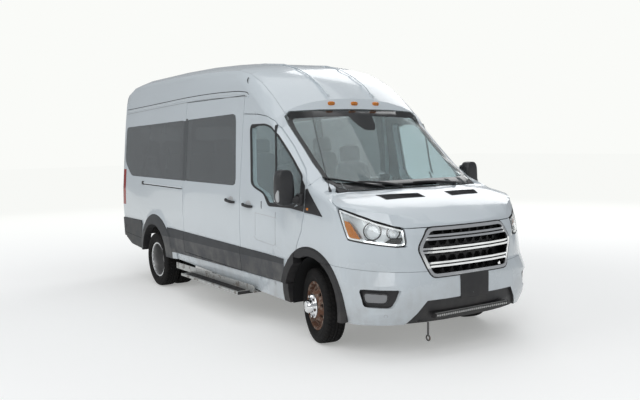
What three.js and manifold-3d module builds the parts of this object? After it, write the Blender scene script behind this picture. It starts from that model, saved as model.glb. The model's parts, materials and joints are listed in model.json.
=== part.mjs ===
// Passenger van with a high roof and twin rear wheels, in millimetres, +Z up.
// The van faces -Y and its left side is +X. Y counts from the front axle until the last lines,
// which move the whole van so that its origin is the middle of its footprint on the ground.
import * as THREE from 'three';
import { mergeVertices } from 'three/addons/utils/BufferGeometryUtils.js';
import Module from 'manifold-3d';

const wasm = await Module();
wasm.setup();

// ---------------------------------------------------------------------------------------------
// Driving dimensions
// ---------------------------------------------------------------------------------------------
const WHEELBASE = 3750;
const FRONT_OVERHANG = 1023;
const REAR_OVERHANG = 1262;      // to the rear edge of the bumper's step
const HALF_WIDTH = 1029.5;       // at the belt, without flares
const ROOF_HEIGHT = 2762;
const BODY_BOTTOM = 285;
const SIDE_WALL = 70;            // doors and side walls, skin to trim
const ROOF_WALL = 45;
const NOSE_WALL = 40;
const PANEL_GAP = 7;             // between a moving panel and its neighbours
const SEAM_GAP = 3;              // between fixed panels
const SEAT_GAP = 0.3;            // between pieces that are fixed face to face
const GLASS_THICKNESS = 6;
const GLASS_GAP = 3;
const STEER_AT_REST = -13;       // degrees, front wheels turned to the van's right

const TYRE_RADIUS = 347;
const TYRE_WIDTH = 195;
const FRONT_TRACK_HALF = 866;    // middle of the tyre
const REAR_OUTER_HALF = 933;
const REAR_INNER_HALF = 716;
const RIM_RADIUS = 216;

const B_SEAM = 1345;             // front door to sliding door
const C_SEAM = 2815;             // sliding door to rear quarter
const DOOR_BOTTOM = 512;
const SILL_DROP = 318;           // bottom of the sill behind the front wheel
const SILL_RISE = 112;           // how much higher it is in front of the rear wheel
const CLADDING_TOP = 744;        // of the side's plastic cladding behind the front wheel
const CLADDING_RISE = 61;
const DITCH = 806;               // half width of the roof skin
const REAR_FACE = WHEELBASE + 1194; // outside of the rear doors
const REAR_DOOR_WALL = 60;
const REAR_BUMPER_TOP = 822;
const TREAD_RAISE = 3;           // the step's tread above the bumper's top
const REAR_DOOR_BOTTOM = REAR_BUMPER_TOP + 14;
const REAR_BUMPER_FRONT = 4236;  // where the rear cladding starts behind the wheel
const BUMPER_RAISE = 14;         // how far the rear bumper stands out from the side wall
const FLOOR_TOP = 700;
const CAB_FLOOR_TOP = 600;
const FLOOR_HALF = 936;
const DOOR_INNER_EDGE = 842;     // how far the front door's frame reaches round the pillar

// Wheel arches in side view: middle and radius of the opening, then of the flare round it.
const FRONT_ARCH = { middle: [-10, 372], radius: 445, flareMiddle: [5, 372], flare: 527 };
const REAR_ARCH = {
  middle: [WHEELBASE + 25, 395], radius: 415, flareMiddle: [WHEELBASE - 35, 395], flare: 548, bulge: 640,
};

// ---------------------------------------------------------------------------------------------
// Materials
// ---------------------------------------------------------------------------------------------
const finish = (color, roughness, metalness = 0) =>
  new THREE.MeshStandardMaterial({ color, roughness, metalness });
const PAINT = finish(0xdfe3e6, 0.3);
const TRIM = finish(0x24262a, 0.6);
const CLADDING = finish(0x4c4f53, 0.65);
const GLASS = finish(0x2b3236, 0.08);
const CLEAR = finish(0xcfd6da, 0.1);
const CHROME = finish(0xd8dadc, 0.15, 1);
const STEEL = finish(0x9a9da0, 0.4, 0.9);
const RUST = finish(0x6b4a3a, 0.8, 0.4);
const RUBBER = finish(0x1c1c1d, 0.9);
const CLOTH = finish(0x55585c, 0.9);
const ALUMINIUM = finish(0xb9bbbb, 0.5, 0.8);
const RED = finish(0x9c1c1a, 0.2);
const UNDERBODY = finish(0x2e2d2b, 0.8, 0.3);

// ---------------------------------------------------------------------------------------------
// Solids
// ---------------------------------------------------------------------------------------------
/** Turns a closed three.js geometry into a solid that can be cut and joined. */
function solid(geometry) {
  for (const name of ['normal', 'uv']) geometry.deleteAttribute(name);
  const merged = mergeVertices(geometry, 1e-3);
  const make = () => new wasm.Manifold(new wasm.Mesh({
    numProp: 3,
    vertProperties: Float32Array.from(merged.attributes.position.array),
    triVerts: Uint32Array.from(merged.index.array),
  }));
  const body = make();
  if (body.volume() > 0) return body;
  turnOver(merged);
  return make();
}

/** Swaps two corners of every triangle, so that its face points the other way. */
function turnOver(geometry) {
  const index = geometry.index.array;
  for (let i = 0; i < index.length; i += 3) [index[i], index[i + 1]] = [index[i + 1], index[i]];
}

/** Turns a solid back into a geometry with flat faces. */
function geometryOf(body) {
  const { vertProperties, triVerts } = body.getMesh();
  const geometry = new THREE.BufferGeometry();
  geometry.setAttribute('position', new THREE.BufferAttribute(Float32Array.from(vertProperties), 3));
  geometry.setIndex(new THREE.BufferAttribute(Uint32Array.from(triVerts), 1));
  geometry.computeVertexNormals();
  return geometry;
}

const join = (...bodies) => bodies.reduce((sum, body) => sum.add(body));
const cut = (body, ...tools) => tools.reduce((rest, tool) => rest.subtract(tool), body);
const common = (...bodies) => bodies.reduce((sum, body) => sum.intersect(body));

/** The same solid on the other side of the van. */
const mirrored = (body) => solid(geometryOf(body).scale(-1, 1, 1));

/** The largest of the pieces that a solid has fallen into. */
const largest = (body) => body.decompose().sort((a, b) => b.volume() - a.volume())[0];

/** A rectangular block between two corners. */
function block([x0, x1], [y0, y1], [z0, z1]) {
  const geometry = new THREE.BoxGeometry(x1 - x0, y1 - y0, z1 - z0);
  return solid(geometry.translate((x0 + x1) / 2, (y0 + y1) / 2, (z0 + z1) / 2));
}

const outlineShape = (outline) => new THREE.Shape(outline.map(([a, b]) => new THREE.Vector2(a, b)));
const extruded = (outline, depth) =>
  new THREE.ExtrudeGeometry(outlineShape(outline), { depth, bevelEnabled: false });

/** A side-view outline of [y, z] points, carried across the van from x0 to x1. */
function acrossX(outline, x0, x1) {
  const swap = new THREE.Matrix4().set(0, 0, 1, 0, 1, 0, 0, 0, 0, 1, 0, 0, 0, 0, 0, 1);
  return solid(extruded(outline, x1 - x0).applyMatrix4(swap).translate(x0, 0, 0));
}

/** A front-view outline of [x, z] points, carried along the van from y0 to y1. */
function alongY(outline, y0, y1) {
  return solid(extruded(outline, y1 - y0).rotateX(Math.PI / 2).translate(0, y1, 0));
}

/** A plan-view outline of [x, y] points, carried up from z0 to z1. */
function upZ(outline, z0, z1) {
  return solid(extruded(outline, z1 - z0).translate(0, 0, z0));
}

/** Replaces each corner of an outline by a short curve that starts radius before it. */
function rounded(outline, radius, steps = 2) {
  const points = [];
  outline.forEach((corner, i) => {
    const toward = (other) => {
      const [dx, dy] = [other[0] - corner[0], other[1] - corner[1]];
      const length = Math.hypot(dx, dy);
      const share = Math.min(radius, length * 0.45) / length;
      return new THREE.Vector2(corner[0] + dx * share, corner[1] + dy * share);
    };
    const before = toward(outline[(i + outline.length - 1) % outline.length]);
    const after = toward(outline[(i + 1) % outline.length]);
    const curve = new THREE.QuadraticBezierCurve(before, new THREE.Vector2(...corner), after);
    for (const p of curve.getPoints(steps)) points.push([p.x, p.y]);
  });
  return points;
}

/** Moves every edge of an outline outwards by a distance, or inwards if it is negative. */
function offset(outline, distance) {
  const points = outline.map(([a, b]) => new THREE.Vector2(a, b));
  const turn = THREE.ShapeUtils.isClockWise(points) ? -1 : 1;
  return points.map((point, i) => {
    const before = points[(i + points.length - 1) % points.length];
    const after = points[(i + 1) % points.length];
    const inDir = point.clone().sub(before).normalize();
    const outDir = after.clone().sub(point).normalize();
    const normal = new THREE.Vector2(inDir.y + outDir.y, -inDir.x - outDir.x).normalize();
    const stretch = Math.max(normal.dot(new THREE.Vector2(inDir.y, -inDir.x)), 0.4);
    const moved = point.clone().addScaledVector(normal, (turn * distance) / stretch);
    return [moved.x, moved.y];
  });
}

/** A circle as an outline. */
function circle([a, b], radius, steps = 40) {
  return Array.from({ length: steps }, (_, i) => {
    const angle = (i / steps) * 2 * Math.PI;
    return [a + radius * Math.cos(angle), b + radius * Math.sin(angle)];
  });
}

/** Joins rings of points, each with the same count, into one closed body. */
function loft(rings) {
  const count = rings[0].length;
  const index = [];
  for (let ring = 0; ring + 1 < rings.length; ring += 1) {
    for (let i = 0; i < count; i += 1) {
      const next = (i + 1) % count;
      const [a, b] = [ring * count + i, ring * count + next];
      index.push(a, b, b + count, a, b + count, a + count);
    }
  }
  const last = (rings.length - 1) * count;
  for (let i = 1; i + 1 < count; i += 1) {
    index.push(0, i + 1, i);
    index.push(last, last + i, last + i + 1);
  }
  const geometry = new THREE.BufferGeometry();
  const positions = new Float32Array(rings.flat(2));
  geometry.setAttribute('position', new THREE.BufferAttribute(positions, 3));
  geometry.setIndex(index);
  return solid(geometry);
}

/** A round, closed profile of [radius, x] points turned about a line along X. */
function turned(profile, segments = 32) {
  const points = profile.map(([radius, x]) => new THREE.Vector2(radius, x));
  return solid(new THREE.LatheGeometry(points, segments).rotateZ(-Math.PI / 2));
}

/** A round bar through a list of points. */
function rod(points, radius, sides = 8, steps = 8) {
  const path = points.length > 2
    ? new THREE.CatmullRomCurve3(points.map((p) => new THREE.Vector3(...p)))
    : new THREE.LineCurve3(new THREE.Vector3(...points[0]), new THREE.Vector3(...points[1]));
  const settings = { steps: points.length > 2 ? steps : 1, bevelEnabled: false, extrudePath: path };
  return solid(new THREE.ExtrudeGeometry(outlineShape(circle([0, 0], radius, sides)), settings));
}

const parts = new Map();
/** Files a finished solid under its name, with its material. */
function add(name, body, material) {
  parts.set(name, { body, material });
}
/** Files a solid of the left side and its twin on the right. */
function addPair(name, body, material) {
  add(`${name}_left`, body, material);
  add(`${name}_right`, mirrored(body), material);
}

// ---------------------------------------------------------------------------------------------
// The body's outer surface
// ---------------------------------------------------------------------------------------------
// Side wall: height above the ground, how far the wall stands inside its widest line.
const SIDE_SECTION = [
  [BODY_BOTTOM, 58], [450, 24], [620, 9], [1030, 0], [1250, 9], [1430, 27],
  [1790, 61], [2130, 94], [2440, 134],
];
const SHOULDER = SIDE_SECTION[SIDE_SECTION.length - 1][0];

// Stations along the van: y, height of the crown on the middle line, height of the shoulder
// where the side wall ends, how square the arc between them is (2 is an ellipse), and how far
// the wall beside the windscreen is pulled in above the belt.
const STATIONS = [
  [-1100, 1040, 900, 2.6, 0], [-935, 1126, 1010, 2.6, 0], [-740, 1238, 1140, 2.6, 0],
  [-600, 1296, 1200, 2.6, 0], [-440, 1350, 1262, 2.6, 0], [-225, 1396, 1318, 2.3, 10],
  [0, 1580, 1368, 2, 22], [220, 1760, 1500, 2, 26], [450, 1952, 1700, 2, 26],
  [660, 2134, 1890, 2, 22], [740, 2262, 1985, 2, 18], [940, 2419, 2130, 2.2, 10],
  [1155, 2529, 2290, 2.5, 4], [1384, 2620, 2400, 2.8, 0], [1650, 2680, SHOULDER, 3, 0],
  [2100, 2727, SHOULDER, 3, 0], [2700, 2752, SHOULDER, 3.1, 0], [3500, ROOF_HEIGHT, SHOULDER, 3.1, 0],
  [4400, 2752, SHOULDER, 3.1, 0], [4800, 2722, 2430, 3, 0], [REAR_FACE - 45, 2690, 2410, 2.9, 0],
  [REAR_FACE, 2640, 2380, 2.8, 0],
];
const NARROW_FROM = 1100;        // the pull-in starts at the belt and is whole 400 mm above it
const NARROW_OVER = 400;
const ROOF_STEPS = 6;
const SIDE_LEVELS = SIDE_SECTION.map(([height]) => height);
// The cabin's inner face has fewer levels, because trim hides most of it.
const PLAIN_LEVELS = SIDE_LEVELS.filter((_, i) => i % 2 === 0);
const PLAIN_ROOF_STEPS = 4;

// Nose: height, where its foremost point is, and how square it is in plan.
const NOSE_LEVELS = [
  [200, -935, 2.5], [BODY_BOTTOM, -965, 2.6], [400, -1008, 2.8], [520, -FRONT_OVERHANG, 2.9],
  [640, -1020, 2.9], [765, -1003, 2.5], [950, -1000, 2.3], [1050, -976, 2.3],
  [1126, -936, 2.3], [1240, -850, 2.3], [1420, -700, 2.3], [3000, -700, 2.3],
];
const NOSE_END = -250;           // where the nose reaches the body's full width
const NOSE_STEPS = 9;

/** Straight-line value of a two-column table at a place. */
function along(table, at) {
  const i = Math.max(1, table.findIndex(([place]) => place >= at));
  const row = at > table[table.length - 1][0] ? table.length - 1 : i;
  const [[p0, v0], [p1, v1]] = [table[row - 1], table[row]];
  const share = Math.min(Math.max((at - p0) / (p1 - p0), 0), 1);
  return v0 + (v1 - v0) * share;
}

/** The body at one station, pulled in by side and top, as a ring of points. */
function bodyRing([y, crown, shoulder, power, narrow], { side, top, drop, plain }) {
  const half = [];
  const [levels, roofSteps] = plain ? [PLAIN_LEVELS, PLAIN_ROOF_STEPS] : [SIDE_LEVELS, ROOF_STEPS];
  for (const height of levels) {
    const share = (height - BODY_BOTTOM) / (SHOULDER - BODY_BOTTOM);
    const z = BODY_BOTTOM + (shoulder - BODY_BOTTOM) * share;
    const pulled = narrow * THREE.MathUtils.clamp((z - NARROW_FROM) / NARROW_OVER, 0, 1);
    half.push([HALF_WIDTH - along(SIDE_SECTION, z) - pulled - side, z]);
  }
  half[0][1] -= drop;
  const [wide, low] = half.pop();
  for (let i = 0; i <= roofSteps; i += 1) {
    const angle = (i / roofSteps) * (Math.PI / 2);
    const x = wide * Math.cos(angle) ** (2 / power);
    const z = low + (crown - top - low) * Math.sin(angle) ** (2 / power);
    half.push([i === roofSteps ? 0 : x, z]);
  }
  const other = half.slice(0, -1).reverse().map(([x, z]) => [-x, z]);
  return [...half, ...other].map(([x, z]) => [x, y, z]);
}

/** The plan of the nose at one height, pulled in by inset, with straight sides behind it. */
function noseRing([z, front, power], inset) {
  const wide = HALF_WIDTH + 4 - inset;
  const half = [];
  for (let i = 0; i <= NOSE_STEPS; i += 1) {
    const angle = (i / NOSE_STEPS) * (Math.PI / 2);
    const x = wide * Math.sin(angle) ** (2 / power);
    const y = NOSE_END - (NOSE_END - front - inset) * Math.cos(angle) ** (2 / power);
    half.push([i === 0 ? 0 : x, y]);
  }
  const far = WHEELBASE + 2 * REAR_OVERHANG;
  const other = half.slice(1).reverse().map(([x, y]) => [-x, y]);
  return [...other, ...half, [wide, far], [-wide, far]].map(([x, y]) => [x, y, z]);
}

/** The space inside the body's skin, pulled in from each face; drop lets it run out below. */
function envelope({ side = 0, top = 0, front = 0, rear = 0, drop = 0, plain = false } = {}) {
  const stations = STATIONS.map(([y, ...rest]) => [y > REAR_FACE - 50 ? y - rear : y, ...rest]);
  const body = loft(stations.map((station) => bodyRing(station, { side, top, drop, plain })));
  return common(body, loft(NOSE_LEVELS.map((level) => noseRing(level, front))));
}

const outside = envelope();
const cabinShell = cut(outside,
  envelope({
    side: SIDE_WALL, top: ROOF_WALL, front: NOSE_WALL, rear: REAR_DOOR_WALL, drop: 60, plain: true,
  }));
const noseShell = cut(outside, envelope({ side: NOSE_WALL, top: NOSE_WALL, front: NOSE_WALL, drop: 60 }));
const glassSkin = cut(envelope({ side: 1, top: 1, front: 1, rear: 1 }), envelope({
  side: 1 + GLASS_THICKNESS, top: 1 + GLASS_THICKNESS, front: 1 + GLASS_THICKNESS,
  rear: 1 + GLASS_THICKNESS, drop: 60,
}));

// ---------------------------------------------------------------------------------------------
// Seams, as side-view outlines of [y, z] unless they say otherwise
// ---------------------------------------------------------------------------------------------
const FRONT_DOOR = [
  [B_SEAM - PANEL_GAP / 2, DOOR_BOTTOM], [B_SEAM - PANEL_GAP / 2, 2124], [1062, 2111], [882, 2086],
  [749, 2037], [645, 1947], [460, 1794], [161, 1531], [104, 1460], [88, 1300], [96, 1193],
  [128, 1044], [223, 881], [262, 780], [262, DOOR_BOTTOM],
];
const SLIDING_DOOR_TOP = 2312;
const SLIDING_DOOR = [
  [B_SEAM + PANEL_GAP / 2, DOOR_BOTTOM + 3], [C_SEAM, DOOR_BOTTOM + 38], [C_SEAM, SLIDING_DOOR_TOP],
  [B_SEAM + PANEL_GAP / 2, SLIDING_DOOR_TOP],
];
const FRONT_WINDOW = rounded([
  [1114, 1430], [1190, 1975], [1165, 2016], [900, 2016], [780, 1988], [640, 1894], [370, 1676],
  [180, 1512], [165, 1320], [290, 1228], [745, 1222], [850, 1335], [1050, 1392],
], 36, 2);
// The side windows' edges: bottom and top at the front door, and how they run to the rear.
const SIDE_WINDOW = { bottom: 1394, top: 2138, bottomRise: 20, topFall: 60, rear: 4893, radius: 65 };
const windowShare = (y) => (y - B_SEAM) / (SIDE_WINDOW.rear - B_SEAM);
const windowBottom = (y) => SIDE_WINDOW.bottom + SIDE_WINDOW.bottomRise * windowShare(y);
const windowTop = (y) => SIDE_WINDOW.top - SIDE_WINDOW.topFall * windowShare(y);
const MIDDLE_WINDOW = rounded([
  [B_SEAM + 97, windowBottom(B_SEAM)], [C_SEAM - 24, windowBottom(C_SEAM)],
  [C_SEAM - 24, windowTop(C_SEAM)], [B_SEAM + 170, windowTop(B_SEAM)],
], SIDE_WINDOW.radius);
const QUARTER_WINDOW = rounded([
  [C_SEAM + 24, windowBottom(C_SEAM)], [SIDE_WINDOW.rear - 265, windowBottom(SIDE_WINDOW.rear)],
  [SIDE_WINDOW.rear, windowBottom(SIDE_WINDOW.rear) + 190],
  [SIDE_WINDOW.rear - 8, windowTop(SIDE_WINDOW.rear)], [C_SEAM + 24, windowTop(C_SEAM)],
], SIDE_WINDOW.radius);

// The hood's side and front seam; the lamp and the wing lie below it and the hood above it.
const HOOD_FRONT = 1106;
const HOOD_SEAM = [
  [-1100, HOOD_FRONT], [-845, HOOD_FRONT], [-725, 1160], [-580, 1227], [-411, 1290], [-254, 1345],
  [-176, 1379], [-140, 1395],
];
const HOOD_HINGE_Y = HOOD_SEAM[HOOD_SEAM.length - 1][0];
const BUMPER_BOTTOM = 300;
const BUMPER_SEAM = [[-1200, 741], [-956, 741], [-625, 766], [-332, 779], [-200, 779]];
const PILLAR_SEAM = 50;          // where the wing ends above the belt
const WING_REAR = [
  [PILLAR_SEAM, 1448], [84, 1440], [88, 1300], [96, 1193], [128, 1044], [223, 881], [262, 780],
];
const LAMP_INNER = 620;
const LAMP = [
  ...HOOD_SEAM.slice(1, 5).map(([y, z]) => [y, z - PANEL_GAP]), [-488, 1112], [-535, 1008],
  [-762, 967], [-850, 950], [-930, 950], [-930, HOOD_FRONT - PANEL_GAP],
];
/** Completes a front-view outline whose left half runs from the middle line to the middle line. */
const bothSides = (half) => {
  const right = half.filter(([x]) => x !== 0).reverse();
  return [...half, ...right.map(([x, z]) => [-x, z])];
};
const WINDSCREEN = bothSides([
  [0, 2150], [430, 2144], [760, 2128], [820, 2080], [817, 1792], [827, 1560], [840, 1466],
  [785, 1424], [700, 1398], [620, 1391], [330, 1399], [0, 1402],
]);
const GRILLE = rounded(bothSides([[428, 1100], [540, 935], [436, 690]]), 45);

const arch = ({ middle, radius }, x0) => acrossX(circle(middle, radius, 32), x0, 1400);
const frontArch = arch(FRONT_ARCH, 500);
const rearArch = arch(REAR_ARCH, 560);
/** A ring round a wheel arch, turned from [radius, x] points about the flare's own middle. */
const flareRing = ({ flareMiddle: [y, z] }, profile) => turned(profile, 32).translate([0, y, z]);
const frontFlare = flareRing(FRONT_ARCH, [
  [FRONT_ARCH.radius - 60, 985], [FRONT_ARCH.radius - 60, 1038], [FRONT_ARCH.flare - 16, 1042],
  [FRONT_ARCH.flare, 1030], [FRONT_ARCH.flare, 985], [FRONT_ARCH.radius - 60, 985],
]);
const rearFlare = flareRing(REAR_ARCH, [
  [REAR_ARCH.radius - 100, 985], [REAR_ARCH.radius - 100, 1056], [REAR_ARCH.flare - 8, 1050],
  [REAR_ARCH.flare, 1042], [REAR_ARCH.bulge, 1024], [REAR_ARCH.bulge, 985],
  [REAR_ARCH.radius - 100, 985],
]);
const rearFlareHigh = common(rearFlare, block([900, 1400], [3000, REAR_BUMPER_FRONT - SEAM_GAP],
  [SILL_DROP + SILL_RISE, 1200]));
const windscreenHole = alongY(offset(WINDSCREEN, GLASS_GAP), -400, 900);
// Cladding along the doors: its section stands out most at a crease two thirds of the way up.
const claddingTop = (y) => CLADDING_TOP + (CLADDING_RISE * (y - 463)) / (3309 - 463);
const cladding = common(
  alongY([[985, DOOR_BOTTOM - 10], [1018, DOOR_BOTTOM - 10], [1036, 690], [1032, 860], [985, 860]], 440, 3330),
  acrossX([[440, DOOR_BOTTOM - 10], [3330, DOOR_BOTTOM - 10], [3330, claddingTop(3330)],
    [440, claddingTop(440)]], 900, 1400));
const doorHole = acrossX(offset(FRONT_DOOR, PANEL_GAP), DOOR_INNER_EDGE - PANEL_GAP, 1400);
const leftHalf = block([1, 1400], [-1200, 5200], [0, 3000]);
const REAR_OPENING = rounded([
  [-888, REAR_DOOR_BOTTOM], [888, REAR_DOOR_BOTTOM], [870, 1300], [790, 2490], [-790, 2490],
  [-870, 1300],
], 40);
const rearDoorOpening = alongY(REAR_OPENING, REAR_FACE - 400, REAR_FACE + 200);

// ---------------------------------------------------------------------------------------------
// Hood, wings, bumper, grille and lamps
// ---------------------------------------------------------------------------------------------
const hoodOutline = [...HOOD_SEAM, [HOOD_HINGE_Y, 1600], [-1100, 1600]];
const hoodRegion = acrossX(hoodOutline, -1400, 1400);
const hoodSpace = acrossX(offset(hoodOutline, PANEL_GAP), -1400, 1400);
// The hood's rear edge in plan, as an arc through its middle and its ends.
const cowlEdge = (shift) => Array.from({ length: 9 }, (_, i) => {
  const x = -1100 + i * 275;
  return [x, -262 + shift + 112 * (x / 1100) ** 2];
});
const behindEdge = (shift) => upZ([...cowlEdge(shift), [1100, 900], [-1100, 900]], 1100, 1700);
add('hood', cut(common(noseShell, hoodRegion), behindEdge(0)), PAINT);

const grilleHole = alongY(offset(GRILLE, 2), -1200, -600);
const lampSpace = acrossX(offset(LAMP, 2), LAMP_INNER - 3, 1400);
const wingRegion = acrossX([
  ...BUMPER_SEAM.map(([y, z]) => [y, z + SEAM_GAP]).reverse(), [-1200, HOOD_FRONT - PANEL_GAP],
  ...HOOD_SEAM, [HOOD_HINGE_Y, 1600], [PILLAR_SEAM, 1600], ...WING_REAR.slice(0, -1),
  [262, 779 + SEAM_GAP],
].reverse(), 30, 1400);
const COWL_HALF = 815;
const cowlSpace = block([-COWL_HALF, COWL_HALF], [-300, 200], [1250, 1500]);
const wing = cut(common(join(noseShell, frontFlare), wingRegion, leftHalf), hoodSpace, grilleHole,
  lampSpace, frontArch, cowlSpace, doorHole, windscreenHole);
addPair('wing', largest(wing), PAINT);

const bumperRegion = acrossX([...BUMPER_SEAM, [-200, BUMPER_BOTTOM], [-1200, BUMPER_BOTTOM]], -1400, 1400);
const INTAKE = [[-652, 295], [-492, 500], [492, 500], [652, 295], [652, 100], [-652, 100]];
const intake = alongY(INTAKE, -1200, -700);
const FOG_RECESS = rounded([[706, 604], [968, 612], [945, 458], [765, 450]], 25);
const fogHole = alongY(FOG_RECESS, -1200, -500);
const bumperSkin = join(noseShell, frontFlare, mirrored(frontFlare));
const bumper = cut(common(bumperSkin, bumperRegion), grilleHole, intake, fogHole, mirrored(fogHole),
  frontArch, mirrored(frontArch));
add('front_bumper', bumper, PAINT);
const deepNose = cut(envelope({ front: 25, side: 25, drop: 30 }), envelope({ front: 95, side: 95, drop: 60 }));
const valance = common(deepNose, alongY(offset(INTAKE, -SEAT_GAP * 4), -1200, -700),
  block([-700, 700], [-1200, -700], [BUMPER_BOTTOM, 499]));
const LIGHT_BAR = { half: 430, bottom: 345, top: 385 };
const lightBar = block([-LIGHT_BAR.half, LIGHT_BAR.half], [-FRONT_OVERHANG + 6, -960],
  [LIGHT_BAR.bottom, LIGHT_BAR.top]);
add('lower_grille', join(valance, lightBar), TRIM);
const fogLamp = common(deepNose, alongY(offset(FOG_RECESS, -SEAT_GAP * 4), -1200, -500));
addPair('fog_lamp', largest(fogLamp), TRIM);

const lampBody = common(cut(outside, envelope({ side: 130, top: 130, front: 130, drop: 60 })),
  acrossX(LAMP, LAMP_INNER, 1400));
addPair('headlamp', largest(lampBody), CLEAR);

// The grille: a bright surround with three pairs of bars, which follow the nose, and behind them
// a black lattice whose openings are staggered from row to row.
const GRILLE_RIM = 26;
const GRILLE_BARS = [1018, 912, 792]; // heights of the pairs' middles
const BAR = { height: 17, gap: 12, depth: 22 };
const noseLayer = (from, to) => cut(envelope({ front: from, side: from, top: from }),
  envelope({ front: to, side: to, top: to, drop: 60 }));
const grilleFront = noseLayer(-6, BAR.depth);
const rimOutline = offset(GRILLE, -SEAT_GAP);
const surround = common(grilleFront, cut(alongY(rimOutline, -1200, -700),
  alongY(offset(rimOutline, -GRILLE_RIM), -1300, -600)));
const barPair = (z) => [-1, 1].map((side) => {
  const middle = z + (side * (BAR.height + BAR.gap)) / 2;
  return block([-560, 560], [-1200, -700], [middle - BAR.height / 2, middle + BAR.height / 2]);
});
const bars = common(noseLayer(0, BAR.depth), alongY(offset(rimOutline, -GRILLE_RIM / 2), -1200, -700),
  join(...GRILLE_BARS.flatMap(barPair)));
add('grille_trim', join(surround, bars), CHROME);

const LATTICE = { wide: 98, high: 80, rib: 10, rows: 5, front: -918, depth: 22 };
const hexagon = (x, z) => {
  const [w, h] = [(LATTICE.wide - LATTICE.rib) / 2, (LATTICE.high - LATTICE.rib) / 2];
  return [[x - w, z], [x - w / 2, z - h], [x + w / 2, z - h], [x + w, z], [x + w / 2, z + h],
    [x - w / 2, z + h]];
};
const latticeHoles = [];
for (let row = 0; row < LATTICE.rows; row += 1) {
  const z = 735 + row * LATTICE.high;
  for (let x = ((row % 2) / 2 - 5) * LATTICE.wide; x < 500; x += LATTICE.wide) {
    const edge = along([[690, 400], [935, 505], [1100, 392]], z);
    if (Math.abs(x) < edge - LATTICE.wide / 2) latticeHoles.push(alongY(hexagon(x, z), -1200, -700));
  }
}
// In plan the lattice is one arc, which clears the bars at the top, where the nose leans back most.
const latticeArc = (y0) => Array.from({ length: 9 }, (_, i) => {
  const x = (i / 4 - 1) * 560;
  return [x, y0 + 118 * Math.abs(x / 560) ** 2.3];
});
const latticePlan = [...latticeArc(LATTICE.front), ...latticeArc(LATTICE.front + LATTICE.depth).reverse()];
const latticePlate = common(upZ(latticePlan, 600, 1200), alongY(rimOutline, -1200, -700));
add('grille', cut(latticePlate, ...latticeHoles), TRIM);

// ---------------------------------------------------------------------------------------------
// Cabin shell: roof, sides, doors and glass
// ---------------------------------------------------------------------------------------------
add('windscreen', common(glassSkin, alongY(WINDSCREEN, -400, 900)), GLASS);

const cabinFront = acrossX([
  [PILLAR_SEAM + SEAM_GAP, 3000], [PILLAR_SEAM + SEAM_GAP, 1460], ...WING_REAR.slice(1),
  [262, 200], [5300, 200], [5300, 3000],
], -1400, 1400);
const roofRegion = block([-DITCH, DITCH], [400, 5200], [2112, 3000]);
const roofSpace = block([-DITCH - SEAM_GAP, DITCH + SEAM_GAP], [400, 5200], [2112 - SEAM_GAP, 3000]);
const roof = cut(common(cabinShell, roofRegion), windscreenHole, rearDoorOpening);
add('roof', roof, PAINT);

const slideHole = acrossX(offset(SLIDING_DOOR, PANEL_GAP), 500, 1400);
// The sill climbs slowly from the front wheel to the rear one.
const sillRegion = acrossX([
  [440, SILL_DROP], [3130, SILL_DROP + SILL_RISE], [3330, SILL_DROP + SILL_RISE],
  [3330, DOOR_BOTTOM + 31], [C_SEAM, DOOR_BOTTOM + 31], [B_SEAM, DOOR_BOTTOM - 5],
  [440, DOOR_BOTTOM - 5 - SEAM_GAP],
], 880, 1400);
const REAR_LAMP = [[905, 1010], [1060, 1010], [1060, 1500], [890, 1500]];
const rearLampSpace = alongY(offset(REAR_LAMP, SEAT_GAP * 4), REAR_FACE - 110, REAR_FACE + 50);
const rearBumperSpace = block([-1200, 1200], [REAR_BUMPER_FRONT - SEAT_GAP * 4, 5300],
  [0, REAR_BUMPER_TOP + SEAT_GAP * 4]);
// The post between the doors stands inside their inner faces and meets the shell above them.
const POST = { outer: SIDE_WALL + 20, inner: SIDE_WALL + 60, front: B_SEAM - 55, rear: B_SEAM + 45 };
const postLayer = (outer) => cut(envelope({ side: outer }), envelope({ side: POST.inner, drop: 60 }));
const post = join(
  common(postLayer(POST.outer), block([600, 1200], [POST.front, POST.rear], [470, 2400])),
  common(postLayer(SIDE_WALL - 10),
    block([600, 1200], [POST.front, POST.rear], [SLIDING_DOOR_TOP + PANEL_GAP + 2, 2400])));
const sideShell = join(common(cabinShell, leftHalf, cabinFront), common(outside, sillRegion));
const lowerCut = acrossX([
  [-1200, 0], [5300, 0], [5300, SILL_DROP + SILL_RISE], [3130, SILL_DROP + SILL_RISE],
  [440, SILL_DROP], [-1200, SILL_DROP],
], 0, 1400);
const sideBlank = cut(join(sideShell, common(cladding, cabinFront), rearFlareHigh, post),
  windscreenHole, roofSpace, rearDoorOpening, frontArch, rearArch, rearLampSpace, rearBumperSpace,
  cowlSpace, lowerCut);
const glassPane = (outline) => common(glassSkin, acrossX(offset(outline, -GLASS_GAP), 500, 1400));
const hole = (outline) => acrossX(outline, 500, 1400);

const doorSpace = cut(doorHole, post);
add('side_left', largest(cut(sideBlank, doorSpace, hole(MIDDLE_WINDOW), hole(QUARTER_WINDOW))), PAINT);
const sideRight = cut(sideBlank, doorSpace, cut(slideHole, post), hole(QUARTER_WINDOW));
add('side_right', mirrored(largest(sideRight)), PAINT);
const doorSkin = join(cabinShell, cladding, frontFlare);
const frontDoor = cut(common(doorSkin, acrossX(FRONT_DOOR, DOOR_INNER_EDGE, 1400)), frontArch,
  hole(FRONT_WINDOW));
addPair('front_door', largest(frontDoor), PAINT);
addPair('front_door_glass', glassPane(FRONT_WINDOW), GLASS);
const slidingDoor = cut(common(join(cabinShell, cladding), acrossX(SLIDING_DOOR, 500, 1400)), hole(MIDDLE_WINDOW));
add('sliding_door', mirrored(slidingDoor), PAINT);
add('sliding_door_glass', mirrored(glassPane(MIDDLE_WINDOW)), GLASS);
add('side_glass_left', glassPane(MIDDLE_WINDOW), GLASS);
addPair('quarter_glass', glassPane(QUARTER_WINDOW), GLASS);

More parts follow.
